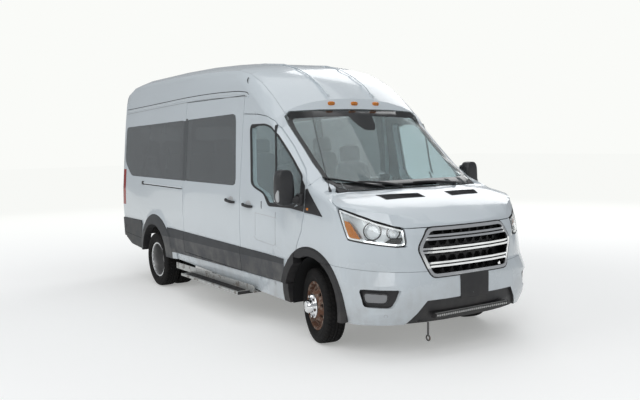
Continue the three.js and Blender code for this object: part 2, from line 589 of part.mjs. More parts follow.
// Rear doors, their glass, the lamps beside them and the bumper below.
const rearDoorOutline = offset(REAR_OPENING, -PANEL_GAP);
const rearDoorBlank = common(cabinShell, alongY(rearDoorOutline, REAR_FACE - 400, REAR_FACE + 200),
  block([PANEL_GAP / 2, 1200], [4000, 5300], [0, 3000]));
const REAR_WINDOW = rounded([[95, 1425], [765, 1425], [745, 2095], [95, 2095]], 60);
addPair('rear_door', cut(rearDoorBlank, alongY(REAR_WINDOW, 4000, 5300)), PAINT);
const rearGlass = common(glassSkin, alongY(offset(REAR_WINDOW, -GLASS_GAP), 4000, 5300));
addPair('rear_door_glass', rearGlass, GLASS);
const rearLampBody = cut(outside, envelope({ side: 90, rear: 90, drop: 60 }));
addPair('tail_lamp', common(rearLampBody, alongY(REAR_LAMP, REAR_FACE - 110, REAR_FACE + 50)), RED);

const rearWrap = cut(envelope({ side: -BUMPER_RAISE, front: -BUMPER_RAISE }),
  envelope({ side: 60, rear: REAR_DOOR_WALL, drop: 80 }));
const bumperSide = [
  [REAR_BUMPER_FRONT, 425], [4700, 463], [4880, 545], [REAR_FACE - 20, 650], [5300, 650],
  [5300, REAR_BUMPER_TOP], [REAR_BUMPER_FRONT, REAR_BUMPER_TOP],
];
const rearPan = block([-1200, 1200], [REAR_FACE - REAR_DOOR_WALL - 2, REAR_FACE + 30], [562, REAR_BUMPER_TOP]);
const rearStep = block([-890, 890], [REAR_FACE - 30, WHEELBASE + REAR_OVERHANG],
  [REAR_BUMPER_TOP - 30, REAR_BUMPER_TOP]);
const rearTread = block([-880, 880], [REAR_FACE + 8, WHEELBASE + REAR_OVERHANG - 4],
  [REAR_BUMPER_TOP - 2, REAR_BUMPER_TOP + TREAD_RAISE]);
const rearBumper = join(common(rearWrap, acrossX(bumperSide, -1400, 1400)),
  common(rearWrap, rearPan), rearStep, rearTread);
add('rear_bumper', cut(rearBumper, rearArch, mirrored(rearArch)), CLADDING);

// Cowl between the hood and the windscreen.
const cowl = cut(common(noseShell, behindEdge(2 * PANEL_GAP),
  block([1 - COWL_HALF, COWL_HALF - 1], [-300, 200], [1250, 1500])), windscreenHole);
add('cowl', largest(cowl), TRIM);

// ---------------------------------------------------------------------------------------------
// Mirrors
// ---------------------------------------------------------------------------------------------
// Outline in plan and levels of the head: height, and its width as a share of the widest.
const MIRROR = [[1058, 150], [1237, 170], [1230, 262], [1180, 290], [1050, 278]];
const MIRROR_LEVELS = [[1268, 0.82], [1300, 0.98], [1440, 1], [1550, 0.93], [1588, 0.72]];
const mirrorMiddle = [1146, 222];
const mirrorHead = loft(MIRROR_LEVELS.map(([z, share]) => rounded(MIRROR, 30, 2).map(([x, y]) => [
  mirrorMiddle[0] + (x - mirrorMiddle[0]) * share, mirrorMiddle[1] + (y - mirrorMiddle[1]) * share, z])));
const mirrorArm = upZ([[1000, 112], [1045, 112], [1110, 190], [1110, 240], [1045, 190], [1000, 190]], 1286, 1342);
const mirrorFoot = upZ([[1000, 106], [1030, 112], [1030, 215], [1000, 225]], 1262, 1372);
const mirror = cut(join(mirrorHead, mirrorArm, mirrorFoot), envelope({ side: -SEAT_GAP * 4 }));
addPair('mirror', largest(mirror), TRIM);

// ---------------------------------------------------------------------------------------------
// Floor, frame, engine and the pieces below
// ---------------------------------------------------------------------------------------------
const SHEET = 40;
const FIREWALL_TOP = 1290;
const cabFloorSide = [
  [B_SEAM + SHEET, CAB_FLOOR_TOP], [520, CAB_FLOOR_TOP], [480, 700], [480, 860], [130, 900],
  [100, FIREWALL_TOP], [60, FIREWALL_TOP], [90, 860], [440, 825], [440, 690],
  [500, CAB_FLOOR_TOP - SHEET], [B_SEAM + SHEET, CAB_FLOOR_TOP - SHEET],
];
const floorSide = [
  [REAR_FACE - REAR_DOOR_WALL - 8, FLOOR_TOP], [B_SEAM, FLOOR_TOP],
  [B_SEAM, CAB_FLOOR_TOP + SEAT_GAP], [B_SEAM + SHEET, CAB_FLOOR_TOP + SEAT_GAP],
  [B_SEAM + SHEET, FLOOR_TOP - SHEET], [REAR_FACE - REAR_DOOR_WALL - 8, FLOOR_TOP - SHEET],
];
const tub = (radius, z0, x0) => common(acrossX(circle(REAR_ARCH.middle, radius, 20), x0, FLOOR_HALF),
  block([0, 1200], [3000, 4600], [z0, 1200]));
const tubPair = (radius, z0, x0) => join(tub(radius, z0, x0), mirrored(tub(radius, z0, x0)));
const WHEEL_HOUSE_RADIUS = REAR_ARCH.radius + 15;
const postSpace = block([870, 1000], [POST.front - 2, POST.rear + 2], [400, 1000]);
const besideFirewall = block([895, 1000], [0, 200], [870, 1400]);
add('cab_floor', cut(acrossX(cabFloorSide, -FLOOR_HALF, FLOOR_HALF),
  postSpace, mirrored(postSpace), besideFirewall, mirrored(besideFirewall)), UNDERBODY);
add('floor', cut(join(acrossX(floorSide, -FLOOR_HALF, FLOOR_HALF),
  tubPair(WHEEL_HOUSE_RADIUS + 20, FLOOR_TOP - 20, 560)),
tubPair(WHEEL_HOUSE_RADIUS, 0, 580), postSpace, mirrored(postSpace)), UNDERBODY);

const RAIL = { inner: 390, outer: 470, bottom: 520, top: 655 };
const rail = block([RAIL.inner, RAIL.outer], [-860, REAR_FACE - 90], [RAIL.bottom, CAB_FLOOR_TOP - SHEET - 1]);
const rearRail = block([RAIL.inner, RAIL.outer], [B_SEAM + SHEET + 1, REAR_FACE - 90],
  [RAIL.bottom, FLOOR_TOP - SHEET - 1]);
const crossMembers = [-840, 900, 1700, 2500, 3250, 4150, 4800].map((y) =>
  block([-RAIL.inner - 5, RAIL.inner + 5], [y, y + 50], [RAIL.bottom, RAIL.bottom + 35]));
const strutTower = cut(block([440, 770], [-60, 60], [RAIL.bottom, 990]),
  block([600, 900], [-70, 70], [0, 955]));
add('frame', join(rail, mirrored(rail), rearRail, mirrored(rearRail), strutTower, mirrored(strutTower),
  ...crossMembers), UNDERBODY);

const KINGPIN = 750;
const lowerArm = upZ([[300, -60], [720, -30], [765, 0], [720, 30], [300, 120]], 232, 268);
const crossBeam = block([-330, 330], [-70, 130], [236, 330]);
const beamPost = block([300, 430], [-60, 100], [300, RAIL.bottom - 1]);
const rack = rod([[-560, 190, 320], [560, 190, 320]], 30, 6);
const rackMount = block([-200, 200], [120, 200], [280, 330]);
add('front_subframe', join(lowerArm, mirrored(lowerArm), crossBeam, beamPost, mirrored(beamPost),
  rack, rackMount), UNDERBODY);

add('engine', join(block([-260, 260], [-620, 30], [440, 1010]), block([-150, 150], [25, 860], [360, 545])),
  STEEL);

const axleTube = rod([[-620, WHEELBASE, 347], [620, WHEELBASE, 347]], 48, 8);
const diff = turned([[0, -150], [90, -130], [165, -60], [165, 60], [90, 130], [0, 150]], 14)
  .translate([0, WHEELBASE, 347]);
const leafSide = [
  [WHEELBASE - 620, 505], [WHEELBASE - 300, 425], [WHEELBASE, 398], [WHEELBASE + 300, 425],
  [WHEELBASE + 620, 505], [WHEELBASE + 620, 519], [WHEELBASE + 300, 455], [WHEELBASE, 440],
  [WHEELBASE - 300, 455], [WHEELBASE - 620, 519],
];
const leaf = acrossX(leafSide, 395, 465);
const springSeat = block([395, 465], [WHEELBASE - 60, WHEELBASE + 60], [360, 405]);
const shaft = rod([[0, 870, 430], [0, WHEELBASE - 100, 347]], 40, 8);
add('rear_axle', join(axleTube, diff, leaf, mirrored(leaf), springSeat, mirrored(springSeat), shaft),
  UNDERBODY);

add('fuel_tank', acrossX(rounded([[1500, 360], [2750, 360], [2750, 515], [1500, 515]], 60), 140, 370)
  .add(acrossX(rounded([[1500, 360], [2750, 360], [2750, 515], [1500, 515]], 60), 368, 860)), TRIM);

const pipe = rod([[-215, 70, 610], [-225, 230, 470], [-250, 600, 400], [-255, 1400, 380], [-255, 2180, 380]],
  32, 6, 6);
const muffler = turned([[0, -330], [90, -320], [90, 320], [0, 330]], 12);
const tail = rod([[-255, 2720, 380], [-270, 3200, 330], [-300, 3560, 215], [-330, 3900, 225],
  [-560, 4260, 330], [-900, 4390, 335]], 30, 6, 10);
add('exhaust', join(pipe, muffler.rotate([0, 0, 90]).translate([-255, 2450, 380]), tail), STEEL);

// ---------------------------------------------------------------------------------------------
// Side step under the sliding door, on the right
// ---------------------------------------------------------------------------------------------
const stepBoard = block([-1170, -905], [1150, 2600], [308, 330]);
const stepBar = join(block([-1040, -985], [1050, 3060], [322, 338]), block([-1040, -1030], [1050, 3060], [322, 395]));
const bracket = (y) => block([-940, -RAIL.inner], [y, y + 40], [312, 328])
  .add(block([-RAIL.outer, -RAIL.inner], [y, y + 40], [312, RAIL.bottom - 1]));
add('side_step', join(stepBoard, stepBar, bracket(1300), bracket(2400)), ALUMINIUM);

// ---------------------------------------------------------------------------------------------
// Wheels
// ---------------------------------------------------------------------------------------------
const TYRE_SECTION = [[1, 76], [40, 97.5], [100, 95], [130, 66]];
/** A tyre turned about the X axis, its middle at x = 0. */
function tyre() {
  const bead = TYRE_RADIUS - 130;
  const half = TYRE_SECTION.map(([rise, x]) => [bead + rise, x]);
  const other = half.slice().reverse().map(([radius, x]) => [radius, -x]);
  return turned([...half, ...other, half[0]], 30);
}
const frontRim = turned([
  [0, 92], [112, 86], [186, 30], [203, 30], [203, -82], [216, -82], [216, 82], [205, 82],
  [192, 44], [118, 98], [60, 108], [56, 162], [40, 178], [0, 178],
], 24);
const HAND_HOLES = 9;
const handHoles = Array.from({ length: HAND_HOLES }, (_, i) =>
  rod([[20, 0, 150], [120, 0, 150]], 20, 6).rotate([(360 / HAND_HOLES) * i, 0, 0]));
const rearRim = turned([
  [0, -90], [60, -90], [60, -16], [203, -16], [203, -184], [216, -184], [216, 184], [205, 184],
  [205, 30], [150, -4], [92, 14], [60, 18], [56, 90], [40, 102], [0, 102],
], 24);
const REAR_MIDDLE = (REAR_OUTER_HALF + REAR_INNER_HALF) / 2;
const atRear = (body, x) => body.translate([x, WHEELBASE, TYRE_RADIUS]);
addPair('rear_rims', atRear(rearRim, REAR_MIDDLE), STEEL);
addPair('rear_tyre_outer', atRear(tyre(), REAR_OUTER_HALF), RUBBER);
addPair('rear_tyre_inner', atRear(tyre(), REAR_INNER_HALF), RUBBER);

// ---------------------------------------------------------------------------------------------
// Cabin
// ---------------------------------------------------------------------------------------------
const dashSide = [
  [135, 905], [400, 905], [470, 1150], [400, 1290], [170, 1335], [-90, 1330], [-90, 1300], [135, 1292],
];
const dash = cut(acrossX(dashSide, -925, 925), cut(block([-1300, 1300], [-1200, 1200], [800, 1500]),
  envelope({ side: SIDE_WALL + 8, top: ROOF_WALL + 8, front: NOSE_WALL + 8, drop: 60 })));
add('dashboard', largest(dash), TRIM);

const WHEEL_AT = new THREE.Vector3(395, 590, 1190);
const WHEEL_LEAN = 35;           // degrees, from flat to facing the driver
const gripRing = new THREE.LatheGeometry(
  circle([190, 0], 15, 6).concat([[205, 0]]).map(([r, z]) => new THREE.Vector2(r, z)), 20);
const spokes = [0, 120, 240].map((angle) => block([-18, 18], [30, 185], [-6, 6]).rotate([0, 0, angle]));
const steeringWheel = join(solid(gripRing.rotateX(Math.PI / 2)), ...spokes,
  solid(new THREE.CylinderGeometry(60, 70, 40, 16).rotateX(Math.PI / 2)),
  solid(new THREE.CylinderGeometry(22, 22, 170, 12).rotateX(Math.PI / 2).translate(0, 0, -95)));

/** A seat of a given width: base, cushion, back and headrest, in side view from its front edge. */
function seat(x0, x1, y, floor) {
  const middle = (x0 + x1) / 2;
  const sections = [
    { from: x0, to: x1, side: [[0, 300], [500, 270], [500, 400], [0, 430]] },
    { from: x0, to: x1, side: [[410, 340], [530, 330], [690, 1000], [590, 1010]] },
    { from: middle - 130, to: middle + 130, side: [[590, 990], [690, 980], [715, 1180], [625, 1190]] },
    { from: x0 + 40, to: x1 - 40, side: [[60, 0.5], [460, 0.5], [460, 320], [60, 320]] },
  ];
  return join(...sections.map(({ from, to, side }) =>
    acrossX(side.map(([back, up]) => [y + back, floor + up]), from, to)));
}
add('driver_seat', seat(150, 640, 700, CAB_FLOOR_TOP), CLOTH);
add('front_passenger_seat', seat(-640, -150, 700, CAB_FLOOR_TOP), CLOTH);
const SEAT_ROWS = [1700, 2500, 3300, 4050];
const rowSeats = SEAT_ROWS.flatMap((y) => [
  seat(30, 459, y, FLOOR_TOP), seat(459, 888, y, FLOOR_TOP), seat(-888, -440, y, FLOOR_TOP)]);
const seatRail = (x) => block([x, x + 40], [1650, 4600], [FLOOR_TOP + 0.5, FLOOR_TOP + 30]);
const tie = block([-500, 120], [1700, 1760], [FLOOR_TOP + 0.5, FLOOR_TOP + 30]);
add('passenger_seats', cut(join(...rowSeats, seatRail(120), seatRail(-500), tie),
  tubPair(WHEEL_HOUSE_RADIUS + 30, FLOOR_TOP - 20, 550)), CLOTH);

// ---------------------------------------------------------------------------------------------
// Assembly
// ---------------------------------------------------------------------------------------------
const group = new THREE.Group();
function place(name, body, material, parent = group) {
  const mesh = new THREE.Mesh(geometryOf(body), material);
  mesh.name = name;
  parent.add(mesh);
}
for (const [name, { body, material }] of parts) place(name, body, material);

// Each front wheel hangs on a knuckle that turns about its kingpin.
const upright = join(block([-50, 6], [-45, 45], [-70, 150]), block([-50, -10], [-26, 26], [140, 590]));
const spindle = rod([[-10, 0, 0], [150, 0, 0]], 48, 12);
const knuckle = join(upright, spindle, block([-60, -15], [20, 170], [-40, -10]));
const OFFSET = FRONT_TRACK_HALF - KINGPIN;
for (const [side, sign] of [['left', 1], ['right', -1]]) {
  const turntable = new THREE.Group();
  turntable.position.set(sign * KINGPIN, 0, TYRE_RADIUS);
  turntable.rotation.z = THREE.MathUtils.degToRad(STEER_AT_REST);
  const handed = (body) => (sign > 0 ? body : mirrored(body));
  place(`knuckle_${side}`, handed(knuckle), UNDERBODY, turntable);
  place(`front_rim_${side}`, handed(cut(frontRim, ...handHoles).translate([OFFSET, 0, 0])), RUST, turntable);
  place(`front_tyre_${side}`, handed(tyre().translate([OFFSET, 0, 0])), RUBBER, turntable);
  group.add(turntable);
}
const column = new THREE.Group();
column.position.copy(WHEEL_AT);
column.rotation.set(THREE.MathUtils.degToRad(-WHEEL_LEAN), 0, 0);
place('steering_wheel', steeringWheel, TRIM, column);
group.add(column);

group.position.y = -(WHEELBASE + REAR_OVERHANG - FRONT_OVERHANG) / 2;
export default group;
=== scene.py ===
"""Passenger van: finishes, fine pieces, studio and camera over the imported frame."""
import json
import logging
import math
from collections.abc import Iterable, Sequence
from dataclasses import dataclass, field
from enum import Enum

import bmesh
import bpy
import numpy as np
from mathutils import Matrix, Vector
from mathutils.geometry import delaunay_2d_cdt
from numpy.typing import NDArray

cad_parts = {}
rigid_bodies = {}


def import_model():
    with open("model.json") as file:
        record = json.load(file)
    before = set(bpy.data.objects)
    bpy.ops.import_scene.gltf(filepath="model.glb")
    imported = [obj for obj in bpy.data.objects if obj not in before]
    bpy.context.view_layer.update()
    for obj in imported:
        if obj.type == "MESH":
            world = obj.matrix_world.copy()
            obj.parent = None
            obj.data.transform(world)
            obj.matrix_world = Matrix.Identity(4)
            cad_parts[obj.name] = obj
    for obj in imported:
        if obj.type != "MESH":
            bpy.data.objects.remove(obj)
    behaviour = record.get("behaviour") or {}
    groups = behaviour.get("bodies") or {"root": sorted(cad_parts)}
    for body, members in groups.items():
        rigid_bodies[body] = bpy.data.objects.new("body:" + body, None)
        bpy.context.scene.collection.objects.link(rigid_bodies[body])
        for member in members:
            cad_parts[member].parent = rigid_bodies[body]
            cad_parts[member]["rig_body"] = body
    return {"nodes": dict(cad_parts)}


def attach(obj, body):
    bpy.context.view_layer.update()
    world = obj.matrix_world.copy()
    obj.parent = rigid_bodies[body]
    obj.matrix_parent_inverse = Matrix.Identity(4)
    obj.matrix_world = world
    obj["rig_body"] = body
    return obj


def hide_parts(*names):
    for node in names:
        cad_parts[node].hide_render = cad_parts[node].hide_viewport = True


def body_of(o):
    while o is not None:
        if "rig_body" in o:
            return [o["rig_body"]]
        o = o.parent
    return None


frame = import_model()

LOG = logging.getLogger("passenger_van")
Points = NDArray[np.float64]
Triple = tuple[float, float, float]
Socket = bpy.types.NodeSocket
SIDES = {"left": 1.0, "right": -1.0}
DATUM = 1.9945                   # metres from the origin forwards to the front axle

NODES: dict[str, bpy.types.Object] = {name: bpy.data.objects[name] for name in frame["nodes"]}


# ---- Shader wiring ----
class Wiring:
    """Adds nodes to one shader tree and joins them."""

    def __init__(self, tree: bpy.types.NodeTree) -> None:
        """Keeps the tree to work on."""
        self.tree = tree

    def add(self, kind: str, inputs: dict | None = None, **settings: object) -> bpy.types.Node:
        """Adds one node.

        Args:
            kind: Shader node type without its ShaderNode prefix.
            inputs: Input name or index to a socket, which is linked, or to a plain value.
            settings: Properties of the node.

        Returns:
            The new node.
        """
        node = self.tree.nodes.new(f"ShaderNode{kind}")
        for key, value in settings.items():
            setattr(node, key, value)
        for key, value in (inputs or {}).items():
            if isinstance(value, Socket):
                self.tree.links.new(value, node.inputs[key])
            else:
                node.inputs[key].default_value = value
        return node

    def math(self, operation: str, a: object, b: object = 0.0, clamp: bool = False) -> Socket:
        """Joins two values by one operation and gives the result's socket."""
        return self.add("Math", {0: a, 1: b}, operation=operation, use_clamp=clamp).outputs[0]

    def plus(self, a: object, b: object, clamp: bool = False) -> Socket:
        """Adds two values."""
        return self.math("ADD", a, b, clamp)

    def times(self, a: object, b: object, clamp: bool = False) -> Socket:
        """Multiplies two values; of two masks it gives where both hold."""
        return self.math("MULTIPLY", a, b, clamp)

    def rest(self, share: object, clamp: bool = False) -> Socket:
        """Gives what a share leaves of one."""
        return self.math("SUBTRACT", 1.0, share, clamp)

    def below(self, value: object, limit: object) -> Socket:
        """Gives 1 where a value is below a limit and 0 elsewhere."""
        return self.math("LESS_THAN", value, limit)

    def near(self, place: tuple[Socket, Socket], middle: tuple[float, float], reach: float) -> Socket:
        """Gives 1 where a place is nearer to a middle than a reach: dy^2 + dz^2 < reach^2."""
        squares = [self.math("POWER", self.math("ABSOLUTE", self.math("SUBTRACT", value, at)), 2.0)
                   for value, at in zip(place, middle)]
        return self.below(self.plus(*squares), reach * reach)

    def span(self, value: object, low: float, high: float, to_low: float = 0.0,
             to_high: float = 1.0) -> Socket:
        """Maps a value from one span smoothly to another and gives the result's socket."""
        node = self.add("MapRange", {0: value, 1: low, 2: high, 3: to_low, 4: to_high},
                        interpolation_type="SMOOTHSTEP")
        return node.outputs[0]

    def noise(self, place: Socket, scale: object, detail: float, roughness: float = 0.5) -> Socket:
        """Gives a cloudy noise's value at a place."""
        return self.add("TexNoise", {"Vector": place, "Scale": scale, "Detail": detail,
                                     "Roughness": roughness}).outputs[0]

    def bump(self, height: Socket, strength: float, distance: float) -> Socket:
        """Turns a height into a normal that looks raised by a distance in metres."""
        return self.add("Bump", {"Strength": strength, "Distance": distance, "Height": height}).outputs[0]

    def mix(self, factor: object, a: object, b: object) -> Socket:
        """Mixes two colours and gives the result's socket."""
        node = self.add("Mix", {0: factor, 6: a, 7: b}, data_type="RGBA")
        return node.outputs[2]


def rgba(color: tuple[float, ...], share: float = 1.0) -> tuple[float, float, float, float]:
    """Gives a colour, paler or darker by a share, its alpha."""
    return (share * color[0], share * color[1], share * color[2], 1.0)


@dataclass
class EffectGroup:
    """A named shader node group with its sockets.

    Attributes:
        name: Name of the group.
        inputs: Input name to its default; a tuple makes a colour socket, a number a value.
        outputs: Output name to whether it is a colour.
        tree: The group's own shader tree.
    """

    name: str
    inputs: dict[str, object]
    outputs: dict[str, bool]
    tree: bpy.types.NodeTree = field(init=False)

    def __post_init__(self) -> None:
        """Makes the group's tree with its sockets and its two end nodes."""
        self.tree = bpy.data.node_groups.new(self.name, "ShaderNodeTree")
        for key, value in self.inputs.items():
            kind = "NodeSocketColor" if isinstance(value, tuple) else "NodeSocketFloat"
            socket = self.tree.interface.new_socket(key, in_out="INPUT", socket_type=kind)
            socket.default_value = rgba(value) if isinstance(value, tuple) else value
        for key, is_color in self.outputs.items():
            kind = "NodeSocketColor" if is_color else "NodeSocketFloat"
            self.tree.interface.new_socket(key, in_out="OUTPUT", socket_type=kind)
        self.wires = Wiring(self.tree)
        self.start = self.tree.nodes.new("NodeGroupInput")
        self.end = self.tree.nodes.new("NodeGroupOutput")

    def parts(self) -> tuple[Wiring, bpy.types.Node, Socket]:
        """Gives the group's wiring, its start node and the place on the object."""
        return self.wires, self.start, self.wires.add("TexCoord").outputs["Object"]

    def give(self, key: str, socket: Socket) -> None:
        """Joins a result to one of the group's outputs."""
        self.tree.links.new(socket, self.end.inputs[key])

    def use(self, wires: Wiring, **values: object) -> bpy.types.Node:
        """Places the group in a material.

        Args:
            wires: The material's wiring.
            values: Input name, with _ for a space, to a socket or a value.

        Returns:
            The group's node.
        """
        node = wires.tree.nodes.new("ShaderNodeGroup")
        node.node_tree = self.tree
        for key, value in values.items():
            socket = node.inputs[key.replace("_", " ")]
            if isinstance(value, Socket):
                wires.tree.links.new(value, socket)
            else:
                socket.default_value = value
        return node


@dataclass(frozen=True)
class Zones:
    """Where the moulded parts and the painted shade of the wheel houses lie on the side panels, in metres
    from the origin.

    Attributes:
        wall: Half width beyond which a face belongs to a side.
        ahead: Front end of the cladding between the wheels.
        behind: Its rear end.
        sill: Its lower edge.
        crease: Level of its upper edge beside the origin.
        rise: Slope of that edge, per metre rearwards.
        clean: Level above which the cladding carries no road dirt.
        front_wheel: Middle of the front arch, as (y, z).
        front_flare: Reach of the front arch's flare.
        rear_wheel: Middle of the rear arch.
        rear_arch: Reach of the rear arch's opening.
        rear_arch_shade: Reach of the black round the rear wheel; it passes the arch's opening by only 2 mm,
            so it is painted shade on the wheel house's inner faces.
        rear_middle: Middle of the moulding round the rear arch.
        rear_reach: Reach of that moulding.
        rear_sill: Its lower edge.
        inward: Inner faces have a normal below this towards their side.
    """

    wall: float = 0.76
    ahead: float = -1.5545
    behind: float = 1.3355
    sill: float = 0.507
    crease: float = 0.744 + 0.021434 * 1.5315
    rise: float = 0.021434
    clean: float = 0.69
    front_wheel: tuple[float, float] = (-1.9895, 0.372)
    front_flare: float = 0.5275
    rear_wheel: tuple[float, float] = (1.7805, 0.395)
    rear_arch: float = 0.4155
    rear_arch_shade: float = 0.4175
    rear_middle: tuple[float, float] = (1.7205, 0.395)
    rear_reach: float = 0.548
    rear_sill: float = 0.43
    inward: float = -0.3


ZONES = Zones()


class Effects:
    """The shader node groups that several finishes share, each built once."""

    def __init__(self) -> None:
        """Builds every group."""
        self.dust = self._dust()
        self.grain = self._grain()
        self.drift = self._drift()
        self.rust = self._rust()
        self.weave = self._weave()
        self.scuff = self._scuff()
        self.zones = self._zones()

    def _dust(self) -> EffectGroup:
        """Road dust: thickest near the ground, broken up by noise, with faint runs down the side."""
        group = EffectGroup("road_dust", {"Base": (0.8, 0.8, 0.8), "Dust": (0.3, 0.27, 0.23), "Amount": 0.5,
                                          "Top": 1.0, "Scale": 3.0}, {"Color": True, "Mask": False})
        w, start, place = group.parts()
        height = w.add("SeparateXYZ", {0: place}).outputs[2]
        share = w.rest(w.math("DIVIDE", height, start.outputs["Top"]), clamp=True)
        cloud = w.noise(place, start.outputs["Scale"], 6.0, 0.62)
        stretched = w.add("Mapping", {"Vector": place, "Scale": (14.0, 14.0, 1.6)}).outputs[0]
        runs = w.noise(stretched, 1.0, 3.0)
        broken = w.times(w.span(cloud, 0.32, 0.72), w.span(runs, 0.25, 0.75, 0.55, 1.0))
        mask = w.times(w.times(share, broken), start.outputs["Amount"], clamp=True)
        group.give("Mask", mask)
        group.give("Color", w.mix(mask, start.outputs["Base"], start.outputs["Dust"]))
        return group

    def _grain(self) -> EffectGroup:
        """Moulded grain: two sizes of cell laid over each other, as a height."""
        group = EffectGroup("moulded_grain", {"Scale": 900.0, "Soft": 0.5}, {"Height": False})
        w, start, place = group.parts()
        cells = w.add("TexVoronoi", {"Vector": place, "Scale": start.outputs["Scale"]}).outputs["Distance"]
        cloud = w.noise(place, w.times(start.outputs["Scale"], 0.31), 2.0)
        group.give("Height", w.plus(w.times(cells, start.outputs["Soft"]), cloud))
        return group

    def _drift(self) -> EffectGroup:
        """Slow drift of a colour towards another, with a value that follows it."""
        group = EffectGroup("colour_drift", {"Base": (0.8, 0.8, 0.8), "Other": (0.7, 0.7, 0.7), "Scale": 1.2,
                                             "Amount": 0.5}, {"Color": True, "Value": False})
        w, start, place = group.parts()
        cloud = w.add("TexNoise", {"Vector": place, "Scale": start.outputs["Scale"], "Detail": 4.0,
                                   "Roughness": 0.5, "Distortion": 0.4}).outputs[0]
        value = w.span(cloud, 0.3, 0.7)
        group.give("Value", value)
        group.give("Color", w.mix(w.times(value, start.outputs["Amount"]), start.outputs["Base"],
                                  start.outputs["Other"]))
        return group

    def _rust(self) -> EffectGroup:
        """Rust blooms: noise cut at a level, with darker cores and a rough height."""
        inputs = {"Metal": (0.4, 0.38, 0.36), "Rust": (0.25, 0.1, 0.05), "Level": 0.5, "Scale": 20.0}
        group = EffectGroup("rust_bloom", inputs, {"Color": True, "Mask": False, "Height": False})
        w, start, place = group.parts()
        cloud = w.noise(place, start.outputs["Scale"], 8.0, 0.7)
        mask = w.times(w.math("SUBTRACT", cloud, start.outputs["Level"]), 9.0, clamp=True)
        fine = w.noise(place, w.times(start.outputs["Scale"], 9.0), 4.0)
        dark = w.mix(w.span(fine, 0.35, 0.7), start.outputs["Rust"], (0.06, 0.03, 0.02, 1.0))
        group.give("Mask", mask)
        group.give("Height", w.times(mask, fine))
        group.give("Color", w.mix(mask, start.outputs["Metal"], dark))
        return group

    def _weave(self) -> EffectGroup:
        """Flat weave: two sets of threads crossing at right angles on the seat faces."""
        group = EffectGroup("flat_weave", {"Scale": 260.0}, {"Height": False, "Thread": False})
        w, start, place = group.parts()
        across = w.add("TexWave", {"Vector": place, "Scale": start.outputs["Scale"], "Distortion": 1.2},
                       bands_direction="X").outputs[1]
        turned = w.add("Mapping", {"Vector": place, "Rotation": (math.pi / 4, 0.0, 0.0)}).outputs[0]
        down = w.add("TexWave", {"Vector": turned, "Scale": start.outputs["Scale"], "Distortion": 1.2},
                     bands_direction="Z").outputs[1]
        group.give("Height", w.math("MAXIMUM", across, down))
        group.give("Thread", w.times(across, down))
        return group

    def _scuff(self) -> EffectGroup:
        """Fine scuffs: long thin streaks where handling and brushing wear a surface."""
        group = EffectGroup("fine_scuff", {"Scale": 30.0, "Level": 0.62}, {"Mask": False})
        w, start, place = group.parts()
        drawn = w.add("Mapping", {"Vector": place, "Rotation": (0.3, 0.2, 0.5),
                                  "Scale": (1.0, 0.12, 1.0)}).outputs[0]
        streak = w.noise(drawn, start.outputs["Scale"], 7.0, 0.75)
        group.give("Mask", w.times(w.math("SUBTRACT", streak, start.outputs["Level"]), 8.0, clamp=True))
        return group

    def _zones(self) -> EffectGroup:
        """Masks on the panels: moulded lower cladding, front flare, painted shade in the wheel houses, and
        inner faces.

        A place is in the cladding between the wheels where it is above the sill line and below the
        line that rises rearwards, and in the flare mask where it is nearer to the wheel than the mask's
        reach:
        at the front that is the real flare, at the rear only 2 mm past the opening; inside both arches
        the mask paints the wheel houses' inner faces black as shade.
        """
        group = EffectGroup("panel_zones", {}, {"Cladding": False, "FlareAndArchShade": False, "Inside": False,
                                                "Upper": False})
        w = group.wires
        coords = w.add("TexCoord")
        x, y, z = w.add("SeparateXYZ", {0: coords.outputs["Object"]}).outputs
        nx = w.add("SeparateXYZ", {0: coords.outputs["Normal"]}).outputs[0]
        wide = w.math("GREATER_THAN", w.math("ABSOLUTE", x), ZONES.wall)
        line = w.plus(ZONES.crease, w.times(y, ZONES.rise))
        length = w.times(w.below(ZONES.ahead, y), w.below(y, ZONES.behind))
        between = w.times(w.times(length, w.below(z, line)), w.below(ZONES.sill, z))
        rear_wheel = ZONES.rear_wheel
        moulding = w.times(w.near((y, z), ZONES.rear_middle, ZONES.rear_reach), w.below(ZONES.rear_sill, z))
        rear = w.times(moulding, w.rest(w.near((y, z), rear_wheel, ZONES.rear_arch)))
        group.give("Cladding", w.times(wide, w.math("MAXIMUM", between, rear)))
        group.give("Upper", w.below(ZONES.clean, z))
        # The flare mask is the front flare, and the wheel houses' inner faces painted black as shade.
        group.give("FlareAndArchShade", w.math("MAXIMUM", w.near((y, z), ZONES.front_wheel, ZONES.front_flare),
                                   w.near((y, z), rear_wheel, ZONES.rear_arch_shade)))
        group.give("Inside", w.below(w.times(nx, w.math("SIGN", x)), ZONES.inward))
        return group


EFFECTS = Effects()


def drifted(w: Wiring, color: Triple, share: float, scale: float, amount: float) -> bpy.types.Node:
    """Lets a colour drift slowly towards a paler or darker one and gives the group's node."""
    return EFFECTS.drift.use(w, Base=rgba(color), Other=rgba(color, share), Scale=scale, Amount=amount)


# ---- Finishes ----
@dataclass(frozen=True)
class Finish:
    """What every finish has, and a way to make its material.

    Attributes:
        name: Name of the finish.
        slot: Name of the record's material slot that it belongs to; not used.
    """

    name: str
    slot: str

    def material(self) -> bpy.types.Material:
        """Gives the finish's material, made at first use."""
        title = f"{self.name}_finish"
        found = bpy.data.materials.get(title)
        if found:
            return found
        made = bpy.data.materials.new(title)
        made.use_nodes = True
        made.node_tree.nodes.clear()
        wires = Wiring(made.node_tree)
        shader = self.shade(wires)
        wires.add("OutputMaterial", {"Surface": shader.outputs[0]})
        return made

    def shade(self, w: Wiring) -> bpy.types.Node:
        """Makes the finish's shader; each kind of finish has its own."""
        raise NotImplementedError


